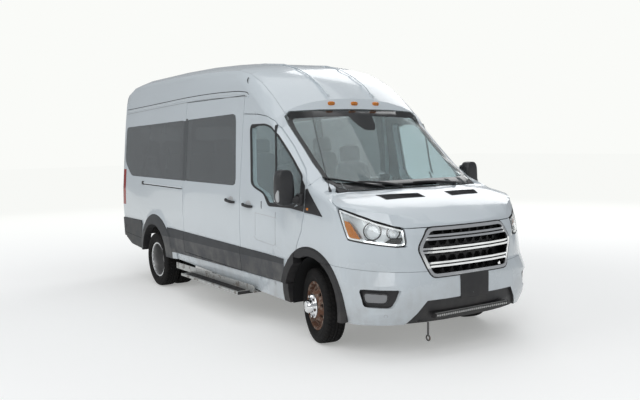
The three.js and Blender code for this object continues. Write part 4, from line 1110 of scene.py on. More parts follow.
    def patch(self, outline: Points, lift: float = 1.5, sink: float = 6.0, step: float = 40.0) -> Form:
        """Fills an outline with a thin slab on the skin.

        The outline and an even grid of points inside are joined by Delaunay's rule, laid on the
        skin, and given a back and a wall.

        Args:
            outline: Corners in the view.
            lift: How far the slab stands out.
            sink: How far its back lies below the skin.
            step: Distance between the grid's points.

        Returns:
            The closed slab.
        """
        rim = densified(np.asarray(outline, float), step, closed=True)
        low, high = rim.min(0), rim.max(0)
        grid = np.stack(np.meshgrid(np.arange(low[0] + step / 2, high[0], step),
                                    np.arange(low[1] + step / 2, high[1], step)), -1).reshape(-1, 2)
        places = np.vstack([rim, grid])
        ring = list(range(len(rim)))
        edges = [(i, (i + 1) % len(ring)) for i in ring]
        flat, _, faces, *_ = delaunay_2d_cdt([tuple(p) for p in places.tolist()], edges, [ring], 1, 1e-4)
        flat = np.array([tuple(p) for p in flat])
        used = np.unique(np.array([corner for face in faces for corner in face]))
        renumber = np.full(len(flat), -1)
        renumber[used] = np.arange(len(used))
        flat = flat[used]
        faces = renumber[np.array(faces)]
        depth = self.reach(flat)
        points = np.vstack([self.laid(flat, lift, depth), self.laid(flat, -sink, depth)])
        size = len(flat)
        pairs = np.concatenate([faces[:, [0, 1]], faces[:, [1, 2]], faces[:, [2, 0]]])
        keys = {tuple(pair) for pair in pairs.tolist()}
        border = [pair for pair in keys if pair[::-1] not in keys]
        walls = [(b, a, a + size, b + size) for a, b in border]
        top = [tuple(face) for face in faces.tolist()]
        back = [(c + size, b + size, a + size) for a, b, c in top]
        return outward(Form(points, top + back + walls))


def place_piece(mesh: bpy.types.Mesh, finish: Finish, body: str, smooth: float,
                replaces: tuple[str, ...]) -> bpy.types.Object:
    """Finishes a mesh and lets it ride on a body as a piece.

    Args:
        mesh: The piece's faces; its name is the piece's.
        finish: Its finish.
        body: The body it moves with.
        smooth: Angle in degrees up to which neighbouring faces shade as one.
        replaces: Solids that the piece stands for.

    Returns:
        The piece's object.
    """
    mesh.polygons.foreach_set("use_smooth", np.ones(len(mesh.polygons), dtype=bool))
    mesh.set_sharp_from_angle(angle=math.radians(smooth))
    mesh.materials.clear()
    mesh.materials.append(finish.material())
    piece = bpy.data.objects.new(mesh.name, mesh)
    bpy.context.scene.collection.objects.link(piece)
    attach(piece, body)
    if replaces:
        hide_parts(*replaces)
    LOG.info("%s: %d faces", piece.name, len(mesh.polygons))
    return piece


def make_piece(name: str, form: Form, finish: Finish, body: str = "van_body", smooth: float = 40.0,
               replaces: tuple[str, ...] = ()) -> bpy.types.Object:
    """Makes a finished piece from a form in millimetres; see place_piece for the rest."""
    mesh = bpy.data.meshes.new(name)
    mesh.from_pydata((form.points / 1000.0 - (0.0, DATUM, 0.0)).tolist(), [], form.faces)
    mesh.validate()
    return place_piece(mesh, finish, body, smooth, replaces)


def box_form(low: Triple, high: Triple, soft: float = 0.0) -> Form:
    """Makes a block whose upright corners are rounded."""
    x0, y0, z0 = low
    x1, y1, z1 = high
    flat = points_at((x0, y0), (x1, y0), (x1, y1), (x0, y1))
    if soft:
        flat = rounded(flat, soft, 4)
    return stacked(flat, ((z0, 1.0), (z1, 1.0)))


# ---- Painted panels and glass ----
@dataclass
class Panels:
    """The painted and glazed solids again, with their seams merged so that curves shade smoothly.

    Attributes:
        smooth: Angle in degrees up to which neighbouring faces shade as one.
        names: The solids.
    """

    smooth: float = 24.0
    names: tuple[str, ...] = ("hood", "wing_left", "wing_right", "front_bumper", "roof", "side_left",
                              "side_right", "front_door_left", "front_door_right", "sliding_door",
                              "rear_door_left", "rear_door_right", "rear_bumper", "windscreen",
                              "front_door_glass_left", "front_door_glass_right", "sliding_door_glass",
                              "side_glass_left", "quarter_glass_left", "quarter_glass_right",
                              "rear_door_glass_left", "rear_door_glass_right", "grille_trim", "cowl",
                              "dashboard")

    def build(self) -> None:
        """Copies each solid, merges its corners, shades it smoothly and lets it stand for the solid."""
        for name in self.names:
            work = bmesh.new()
            work.from_mesh(NODES[name].data)
            bmesh.ops.remove_doubles(work, verts=work.verts, dist=2e-5)
            mesh = bpy.data.meshes.new(f"{name}_skin")
            work.to_mesh(mesh)
            work.free()
            piece = place_piece(mesh, dress(name), body_of(NODES[name])[0], self.smooth, (name,))
            weighted = piece.modifiers.new("even_normals", "WEIGHTED_NORMAL")
            weighted.keep_sharp = True
            weighted.weight = 80


# ---- Sides ----
@dataclass
class SidePart:
    """A sub-assembly that stands on both sides.

    Attributes:
        side: 1 for the left side, -1 for the right.
    """

    side: float

    @property
    def word(self) -> str:
        """Names the side."""
        return side_word(self.side)

    def add(self, name: str, form: Form, finish: Finish, part: str = "", smooth: float = 40.0,
            replaces: str = "") -> None:
        """Makes a piece of this side.

        Args:
            name: The piece's name without the side's.
            form: Its surface, in place.
            finish: Its finish.
            part: Name of the side's body it moves with; if none, it rides on the van's body.
            smooth: Angle in degrees up to which neighbouring faces shade as one.
            replaces: Solid that the piece stands for, without the side's name.
        """
        body = f"{self.word}_{part}" if part else "van_body"
        solids = (f"{replaces}_{self.word}",) if replaces else ()
        make_piece(f"{name}_{self.word}", form, finish, body, smooth, solids)


FRONT_WINDOW = points_at((1114, 1430), (1190, 1975), (1165, 2016), (900, 2016), (780, 1988), (640, 1894),
                         (370, 1676), (180, 1512), (165, 1320), (290, 1228), (745, 1222), (850, 1335),
                         (1050, 1392))


@dataclass
class SideTrim(SidePart):
    """Thin trim on one side wall and its doors.

    Attributes:
        upper_rib: Drip rib below the roof, as (y, z) points.
        lower_line: Fine line under it.
        arch_middle: Middle of the front wheel arch, as (y, z).
    """

    upper_rib: tuple = ((1270, 2300), (1311, 2325), (1400, 2338), (1574, 2351), (2121, 2363), (2835, 2358),
                        (3866, 2330), (4900, 2303))
    lower_line: tuple = ((1306, 2303), (2121, 2325), (2800, 2320), (3858, 2292), (4900, 2262))
    arch_middle: tuple[float, float] = (-10.0, 372.0)

    def __post_init__(self) -> None:
        """Finds the outer skin of the side's wall, of its front door and of what lies ahead of that."""
        wall = [f"side_{self.word}", "roof"]
        self.wall = Skin(wall + (["sliding_door"] if self.side < 0 else []), View.beside(self.side))
        self.door = Skin([f"front_door_{self.word}", f"front_door_glass_{self.word}"], View.beside(self.side))
        self.front = Skin([f"wing_{self.word}", "front_bumper", f"side_{self.word}", "cowl"],
                          View.beside(self.side))

    def ribs(self) -> None:
        """Lays the drip rib, the shadow line above it and the fine line below."""
        rib = swept_line(np.array(self.upper_rib, float), 6)
        self.add("drip_rib", self.wall.strip(rib, 26, 3.0, crown=5.0), WHITE, smooth=60)
        self.add("drip_shadow", self.wall.strip(rib + (0.0, 18.0), 7, 1.2), SEAM_AND_SHADE)
        clip = self.wall.strip(points_at((1316, 2434), (1352, 2496)), 5, 1.2)
        self.add("roof_clip", clip, SEAM_AND_SHADE)
        low = swept_line(np.array(self.lower_line, float), 6)
        self.add("drip_line", self.wall.strip(low, 5, 1.0), SOFT_SEAM)

    def window_seal(self) -> None:
        """Lays the front door window's seal, broad behind and below and thin along the pillar."""
        outline = densified(rounded(FRONT_WINDOW, 36), 30, closed=True)
        behind = np.clip((outline[:, 0] - 1040) / 60, 0, 1)
        low = np.clip((1330 - outline[:, 1]) / 60, 0, 1)
        width = 17 + (behind * 20 + low * 16)
        inner = outline - (grown(outline, 1.0) - outline) * width[:, None]
        self.add(
            "window_seal", self.door.band(inner, grown(outline, 2.0), 2.0, 4.0), TRIM, "front_door", 30
        )
        bar = points_at((704, 2000), (672, 1760), (640, 1480), (622, 1240))
        self.add("window_bar", self.door.strip(bar, 24, 2.2, 4.0), TRIM, "front_door")

    def window_join(self) -> None:
        """Lays the dark border that joins the two big side windows over the pillar between them."""
        names = ["side_left", "side_glass_left", "quarter_glass_left"]
        if self.side < 0:
            names = ["sliding_door", "sliding_door_glass", "side_right", "quarter_glass_right"]
        skin = Skin(names, View.beside(self.side))
        for name, start, end, top in (("front", 2752, 2812, 2126), ("rear", 2818, 2880, 2104)):
            outline = points_at((start, 1401), (end, 1401), (end, top), (start, top))
            self.add(f"window_join_{name}", skin.patch(outline, 1.2, 3.0, 40), TINTED_BORDER)

    def sail(self) -> None:
        """Lays the black panel at the mirror's foot: a part on the wing and a part on the door."""
        ahead = points_at((66, 1416), (-78, 1300), (-222, 1186), (-100, 1196), (78, 1204), (81, 1300),
                          (90, 1408))
        self.add("sail_front", self.front.patch(ahead, 7.0, 8.0, 30), TRIM, smooth=30)
        behind = points_at((94, 1300), (101, 1208), (325, 1226), (200, 1255), (176, 1330), (186, 1500),
                           (112, 1440))
        self.add("sail_rear", self.door.patch(behind, 6.0, 8.0, 30), TRIM, "front_door", 30)
        lamp = self.front.laid(points_at((26.0, 1236.0)), 3.0)[0]
        section = soft_outline(17, 12, 2.6, 20)
        layers = [(lamp[0] + self.side * out, size)
                  for out, size in ((-3.0, 1.0), (5.0, 1.0), (9.0, 0.82), (11.0, 0.4))]
        self.add("side_repeater", stacked(section, layers, 0, lamp[1:]), AMBER)

    def handle(self, name: str, skin: Skin, middle: tuple[float, float], tilt: float, body: str) -> None:
        """Makes a pull handle: a bowed grip on two feet over a shallow bowl whose darker paint is painted
        shade.

        Args:
            name: Name of the piece.
            skin: Wall that carries it.
            middle: Its middle, as (y, z).
            tilt: Fall in millimetres from its rear end to its front end.
            body: The body it moves with.
        """
        share = np.linspace(-1.0, 1.0, 25)
        flat = np.column_stack([middle[0] + 98 * share, middle[1] + tilt * share])
        bow = 34 * (1 - np.abs(share) ** 4)
        base = skin.reach(flat)
        path = np.column_stack([base + self.side * (bow + 2), flat])
        grip = carried(path, soft_outline(15, 11, 3.0, 18), scale=0.72 + 0.28 * (1 - share**6),
                       up=(self.side, 0.0, 0.0))
        make_piece(f"{name}_grip", grip, TRIM, body, 50)
        turn = turns(40)
        rim = np.column_stack([middle[0] - 8 + 62 * np.cos(turn), middle[1] + 14 + 40 * np.sin(turn)])
        hole = np.column_stack([middle[0] - 8 + 57 * np.cos(turn), middle[1] + 14 + 35 * np.sin(turn)])
        make_piece(f"{name}_bowl_rim", skin.band(hole, rim, 1.6, 4.0), WHITE, body, 50)
        # Painted shade: the bowl's paint is the body's white darkened in the recess.
        make_piece(f"{name}_bowl", skin.patch(hole, 0.8, 4.0, 22), SHADED_BOWL, body)

    def front_door(self) -> None:
        """Adds the front door's handle, the lock slot as a near-black strip of painted shade, and the fine
        marks of an old fixture.
        """
        body = f"{self.word}_front_door"
        self.handle(f"front_door_{self.word}", self.door, (1158, 1206), 9.0, body)
        # The lock slot is a near-black strip: painted shade in the slot.
        slot = points_at((882, 1262), (877, 1190))
        self.add("door_slot_shade", self.door.strip(slot, 9, 1.2), SEAM_AND_SHADE, "front_door")
        if self.side > 0:
            return
        lines = [((1000, 1139), (1007, 916)), ((600, 1174), (604, 860)), ((1006, 1141), (574, 1118)),
                 ((1045, 906), (985, 872)), ((985, 872), (640, 846)), ((640, 846), (604, 870))]
        marks = [self.door.strip(np.array(line, float), 4.0, 0.7, 3.0) for line in lines]
        make_piece("old_fixture_marks", joined(marks), MARK, body)

    def sliding_door(self) -> None:
        """Adds the sliding door's handle and the rail that its rear roller runs in."""
        if self.side > 0:
            return
        self.handle("sliding_door", self.wall, (1548, 1232), 11.0, "van_body")
        top = points_at((4120, 1347), (2838, 1333))
        make_piece("rail_cover", self.wall.strip(top - (0, 12), 22, 7.0, crown=5.0), WHITE, smooth=60)
        make_piece("rail_shadow", self.wall.strip(points_at((4150, 1316), (2838, 1303)), 13, 1.2), SEAM_AND_SHADE)
        make_piece("rail_lower_lip",
                   self.wall.strip(points_at((4100, 1303), (2838, 1290)), 15, 5.0, crown=3.0), WHITE,
                   smooth=60)
        end = self.wall.strip(points_at((4190, 1332), (4128, 1331)), 44, 6.0, crown=4.0, step=10)
        make_piece("rail_end", end, TRIM, smooth=60)

    def liner(self) -> None:
        """Adds the black liner of the front wheel house: an arched sheet and the wall at its inner side; its
        near-black is also painted shade inside the wheel house.
        """
        turn = np.radians(np.linspace(-8, 188, 60))
        bow = np.column_stack([np.cos(turn), np.sin(turn)])
        edges = ((950.0, 436.0), (950.0, 440.0), (432.0, 440.0), (432.0, 436.0))
        sheet = np.stack([np.column_stack([np.full(60, x), radius * bow + self.arch_middle])
                          for x, radius in edges], 1)
        wall = stacked(437 * bow, ((428.0, 1.0), (434.0, 1.0)), 0, self.arch_middle)
        liner = joined([loft(sheet), wall]).on(self.side)
        self.add("front_arch_liner", liner, SHADE_BLACK, smooth=50)

    def build(self) -> None:
        """Builds the whole side's trim."""
        self.ribs()
        self.window_seal()
        self.window_join()
        self.sail()
        self.front_door()
        self.sliding_door()
        self.liner()


@dataclass
class Mirror(SidePart):
    """One door mirror: smooth housing, glass behind, turn lamp on its outer edge and its arm.

    Attributes:
        low: Lowest level of the housing.
        high: Highest level of the housing.
    """

    low: float = 1268.0
    high: float = 1588.0

    def housing(self) -> Form:
        """Lofts the plan outline upwards; its size follows (1 - |t|^5)^0.34 towards both ends."""
        outline = rounded(points_at((1058, 152), (1233, 170), (1228, 262), (1180, 288), (1050, 277)), 42, 7)
        middle = np.array((1146.0, 222.0))
        t = np.sin(np.linspace(-math.pi / 2, math.pi / 2, 21))
        size = np.clip(1 - np.abs(t) ** 5, 0.0, 1.0) ** 0.34 * (1.0 - 0.1 * np.clip(t, 0, 1)) + 0.02
        level = (self.low + self.high) / 2 + (self.high - self.low) / 2 * t
        rings = np.stack([np.column_stack([middle + (outline - middle) * (share, 0.55 + 0.45 * share),
                                           np.full(len(outline), z)]) for share, z in zip(size, level)])
        return loft(rings)

    def build(self) -> None:
        """Builds the housing, glass, lamp and arm."""
        self.add("mirror_housing", self.housing().on(self.side), MIRROR_SHELL, "front_door", 50,
                 replaces="mirror")
        z = np.linspace(1300, 1412, 15)
        bend = np.sin(np.linspace(0, math.pi, 15))
        path = np.column_stack([1220 + 4.0 * bend, np.full(15, 196.0), z])
        lamp = carried(path, soft_outline(26, 10, 3.0, 20), up=(1.0, 0.0, 0.0),
                       scale=0.45 + 0.55 * bend**0.35)
        self.add("mirror_lamp", lamp.on(self.side), FROSTED, "front_door", 50)
        reach = np.linspace(0, 1, 12)
        arm_path = np.column_stack([1000 + 112 * reach, 158 + 62 * reach**1.3, 1316 - 4 * reach])
        arm = carried(arm_path, soft_outline(36, 30, 3.5, 24), scale=1.25 - 0.35 * reach)
        foot_path = np.column_stack([np.linspace(985, 1040, 6), np.full(6, 158.0), np.full(6, 1316.0)])
        foot = carried(foot_path, soft_outline(52, 56, 4.0, 28), scale=np.array([1, 1, 1, 0.97, 0.9, 0.75]))
        self.add("mirror_arm", joined([arm, foot]).on(self.side), TRIM, "front_door", 50)
        for name, low, high in (("upper", 1392.0, 1556.0), ("lower", 1292.0, 1376.0)):
            pane = soft_outline(72, (high - low) / 2, 6.0, 40)
            rings = np.stack([np.column_stack([1136 + share * pane[:, 0], np.full(40, y) - 0.06 * pane[:, 0],
                                               (low + high) / 2 + share * pane[:, 1]])
                              for y, share in ((276.0, 1.0), (287.5, 1.0), (288.5, 0.96))])
            self.add(f"mirror_glass_{name}", loft(rings).on(self.side), MIRROR_GLASS, "front_door")


# ---- Wheels ----
@dataclass
class Tyre:
    """A road tyre whose tread is a grid pressed down along its grooves.

    Attributes:
        pitches: Tread blocks round the tyre.
        columns: Grid columns in one pitch.
        depth: Depth of the grooves.
    """

    pitches: int = 52
    columns: int = 7
    depth: float = 9.0

    def form(self) -> Form:
        """Gives the tyre about the X axis with its middle at the origin.

        The section is a fixed outline of (along, radius). A corner in the tread drops by the depth
        where it lies in one of the round grooves, or where its turn, shifted by its place across
        the tread, falls in the first share of a pitch.

        Returns:
            The closed form.
        """
        side = [(70, 219), (84, 230), (93, 246), (97, 262), (97.4, 272), (99.0, 275), (99.0, 282),
                (97.2, 285), (95.5, 298), (93.5, 312), (90, 322), (87, 330)]
        tread = [(82, 338), (74, 342.5), (62, 345), (60, 345.3), (58, 345.4), (50, 345.9), (48, 346),
                 (46, 346.1), (24, 346.8), (22, 346.9), (20, 346.9), (12, 347), (10, 347), (8, 347)]
        half = np.array(side + tread, float)
        section = np.vstack([half, half[::-1] * (-1, 1)])
        along, radius = section.T
        steps = self.pitches * self.columns
        turn = np.arange(steps) * 2 * math.pi / steps
        across = np.abs(along)
        round_groove = ((across > 47) & (across < 59)) | ((across > 9) & (across < 21))
        rib = np.digitize(across, (15, 53)) * np.where(along > 0, 1, -1)
        share = (turn[:, None] * self.pitches / (2 * math.pi) + 0.31 * rib[None] + along[None] * 0.012) % 1.0
        cross_groove = (share < 1.4 / self.columns) & (across > 15)[None]
        reach = np.clip((radius - 316) / 14, 0, 1)
        drop = self.depth * reach * np.maximum(round_groove[None], 0.85 * cross_groove)
        spun = radius[None] - drop
        rings = np.stack([np.broadcast_to(along, spun.shape), np.cos(turn)[:, None] * spun,
                          np.sin(turn)[:, None] * spun], -1)
        return loft(rings, close=True)


@dataclass
class FrontWheel(SidePart):
    """One front wheel's tyre, bright hub cover, nuts and valve.

    Attributes:
        offset: From the kingpin to the tyre's middle.
        pin: From the middle of the van to the kingpin.
        steer: How far the wheels are turned at rest, in degrees.
        hub: Centre height.
        nuts: How many nuts stand round the hub.
    """

    offset: float = 116.0
    pin: float = 750.0
    steer: float = -13.0
    hub: float = 347.0
    nuts: int = 6

    def seated(self, form: Form) -> Form:
        """Moves a form from the wheel's own axis to its place on the turned knuckle."""
        placed = form.shifted((self.offset, 0.0, 0.0)).on(self.side)
        placed = placed.shifted((self.side * self.pin, 0.0, self.hub))
        return placed.spun(self.steer, "Z", (self.side * self.pin, 0.0, 0.0))

    def cover(self) -> Form:
        """Turns the hub cover's section: a flat collar, a step and a long domed cap."""
        outer = [(112, 97), (111, 107), (104, 113), (98, 114), (68, 118), (63, 124), (60, 150), (57, 166),
                 (48, 177), (30, 181), (0.4, 182)]
        inner = [(0.4, 179), (44, 174), (54, 164), (58, 118), (62, 109.5), (104, 101)]
        profile = np.array([(x, r) for r, x in outer + inner], float)
        return revolved(profile, 64)

    def nut_ring(self, radius: float, base: float, high: float, across: float) -> Form:
        """Sets capped six-sided nuts round the axis."""
        layers = ((0, 1.18), (4, 1.18), (4.1, 1.0), (high * 0.8, 1.0), (high, 0.62))
        one = stacked(round_section(across, 6), [(base + x, size) for x, size in layers], 0, (radius, 0.0))
        return joined([one.spun(360 / self.nuts * i + 12, "X") for i in range(self.nuts)])

    def build(self) -> None:
        """Builds the wheel's pieces."""
        self.add("front_tread", self.seated(Tyre().form()), TYRE, "front_wheel", 32, replaces="front_tyre")
        self.add("hub_cover", self.seated(self.cover()), CHROME, "front_wheel", 30)
        self.add("hub_nuts", self.seated(self.nut_ring(88, 112, 26, 15)), CHROME, "front_wheel", 20)
        lip = points_at((80, 213), (84, 216), (84, 222), (80, 225), (76, 222), (76, 215))
        self.add("front_rim_lip", self.seated(revolved(lip, 72)), RUSTY_DISC, "front_wheel", 50)
        valve = carried(points_at((52, 172, 18), (66, 170, 18), (92, 160, 17)), round_section(5, 8))
        self.add("front_valve", self.seated(valve), TRIM, "front_wheel")


@dataclass
class RearWheels(SidePart):
    """One side's twin rear wheels: tyres, bright outer lip, disc with holes, hub and nuts.

    Attributes:
        middle: From the middle of the van to between the tyres.
        spread: From there to each tyre's middle.
        axle: Axle behind the front one.
        hub: Centre height.
    """

    middle: float = 824.5
    spread: float = 108.5
    axle: float = 3750.0
    hub: float = 347.0

    def seated(self, form: Form, out: float = 0.0) -> Form:
        """Moves a form from the axle's own axis to its place."""
        return form.shifted((self.middle + out, self.axle, self.hub)).on(self.side)

    def build(self) -> None:
        """Builds the pieces of both wheels."""
        tyre = Tyre().form()
        self.add("rear_tread_outer", self.seated(tyre, self.spread), TYRE, "rear_wheels", 32,
                 replaces="rear_tyre_outer")
        self.add("rear_tread_inner", self.seated(tyre, -self.spread), TYRE, "rear_wheels", 32,
                 replaces="rear_tyre_inner")
        lip = points_at((176, 203), (183, 205), (187, 210), (188, 217), (185, 223), (180, 222), (181, 215),
                        (174, 209))
        self.add("rear_rim_lip", self.seated(revolved(lip, 96)), BRIGHT_LIP, "rear_wheels", 60)
        barrel = points_at((28, 200.5), (60, 199), (120, 198), (172, 202.4), (176, 204.5), (176, 203.6),
                           (172, 201.4), (120, 196.6), (60, 197.6), (28, 199))
        self.add("rear_barrel", self.seated(revolved(barrel, 96)), SILVER_DISC, "rear_wheels", 60)
        disc = points_at((31, 199), (12, 178), (-1.5, 152), (6, 120), (16.5, 92), (20.5, 62), (20.5, 58),
                         (14, 58), (10, 92), (-6, 150), (26, 200))
        self.add("rear_disc", self.seated(revolved(disc, 96)), SILVER_DISC, "rear_wheels", 60)
        # Painted shade: near-black discs fill the hand holes, where one looks into shade.
        hole = stacked(soft_outline(15, 20, 2.0, 24), ((-4.0, 1.0), (3.2, 1.0)), 0, (152.0, 0.0))
        holes = [hole.spun(45 * i, "X") for i in range(8)]
        self.add("rear_hand_hole_shade", self.seated(joined(holes)), SHADE_BLACK, "rear_wheels")
        cap = points_at((20, 64), (92, 60), (100, 54), (106, 40), (107, 0.4), (98, 0.4), (96, 36), (22, 50))
        self.add("rear_hub", self.seated(revolved(cap, 48)), SILVER_DISC, "rear_wheels")
        ring = FrontWheel(self.side).nut_ring(78, 18, 24, 13)
        self.add("rear_nuts", self.seated(ring), STEEL, "rear_wheels", 20)


# ---- Front ----
@dataclass
class Headlamp(SidePart):
    """One headlamp: gasket, bright bezel, two bowls with bulbs, amber corner and a clear cover.

    Attributes:
        look: Turn of the direction that the lamp faces, in degrees from straight out.
    """

    look: float = -48.0

    def __post_init__(self) -> None:
        """Takes the lamp's outline from its corners on the skin; the left lamp serves both sides."""
        side, front = Skin(["headlamp_left"], View.LEFT), Skin(["headlamp_left"], View.FRONT)
        self.skin = Skin(["headlamp_left"], View.LEFT, self.look)
        rear = side.laid(points_at((-426, 1274), (-489, 1116), (-537, 1012), (-762, 972), (-846, 956)), 0)
        nose = front.laid(points_at((628, 962), (626, 1094)), 0)
        top = side.laid(points_at((-843, 1094), (-725, 1149), (-580, 1216)), 0)
        corners = self.skin.flatten(np.vstack([rear, nose, top]))
        self.outline = densified(rounded(anticlockwise(corners), 34, 5), 18, closed=True)

    def inset(self, step: float) -> Points:
        """Gives the outline moved inwards."""
        return grown(self.outline, -step)

    def layer(self, name: str, form: Form, finish: Finish, smooth: float = 40.0, replaces: str = "") -> None:
        """Makes one piece of this side's lamp from the left lamp's form."""
        self.add(f"lamp_{name}", form.on(self.side), finish, smooth=smooth, replaces=replaces)

    def bowl(self, middle: Triple, radius: float, deep: float) -> list[Form]:
        """Turns a paraboloid bowl and its bulb shroud, facing the way the lamp looks."""
        r = np.linspace(radius, 7.0, 14)
        front = np.column_stack([-deep + deep * (r / radius) ** 2, r])
        back = np.column_stack([front[::-1, 0] - 3.0, front[::-1, 1] + 0.5])
        rim = points_at((2.0, radius + 5.0), (4.0, radius + 2.0))
        bowl = revolved(np.vstack([rim, front, back]), 48)
        bulb = points_at((-deep - 2, 8), (-deep * 0.45, 8), (-deep * 0.35, 6), (-deep * 0.3, 0.3),
                         (-deep - 2, 0.3))
        return [item.spun(self.look, "Z").shifted(middle) for item in (bowl, revolved(bulb, 20))]

    def build(self) -> None:
        """Builds the lamp's layers from its back to its cover."""
        skin = self.skin
        self.layer("backing", skin.patch(self.inset(4), -48, 52, 40), LAMP_BACK)
        self.layer("gasket", skin.band(self.inset(6), self.inset(-1), 0.5, 12), SEAM_AND_SHADE)
        wall = np.stack([skin.laid(self.inset(6), -1.0), skin.laid(self.inset(20), -5.0),
                         skin.laid(self.inset(26), -47.0), skin.laid(self.inset(7), -47.0)])
        self.layer("bezel", loft(wall, close=True), CHROME, 30)
        for name, middle, radius in (("outer", (828, -681, 1082), 62), ("inner", (694, -790, 1066), 42)):
            bowl, bulb = self.bowl(middle, radius, 46)
            self.layer(f"bowl_{name}", bowl, CHROME, 30)
            self.layer(f"bulb_{name}", bulb, BULB, 40)
            ring = points_at((3, radius + 5), (3, radius + 14), (-6, radius + 16), (-30, radius + 12),
                             (-6, radius + 5))
            dark = revolved(ring, 48).spun(self.look, "Z").shifted(middle)
            self.layer(f"ring_{name}", dark, SMOKE, 30)
        amber = skin.flatten(points_at((983, -496, 1172), (958, -544, 1156), (920, -639, 1015),
                                       (977, -542, 1017)))
        self.layer("amber", skin.patch(rounded(anticlockwise(amber), 10), -6, 14, 22), AMBER)
        dusk = skin.flatten(points_at((787, -779, 988), (732, -810, 1028), (639, -860, 1030),
                                      (680, -853, 972)))
        self.layer("lower", skin.patch(rounded(anticlockwise(dusk), 12), -9, 10, 25), SMOKE)
        self.layer("cover", skin.patch(self.inset(3), 1.0, 1.5, 34), LENS, replaces="headlamp")


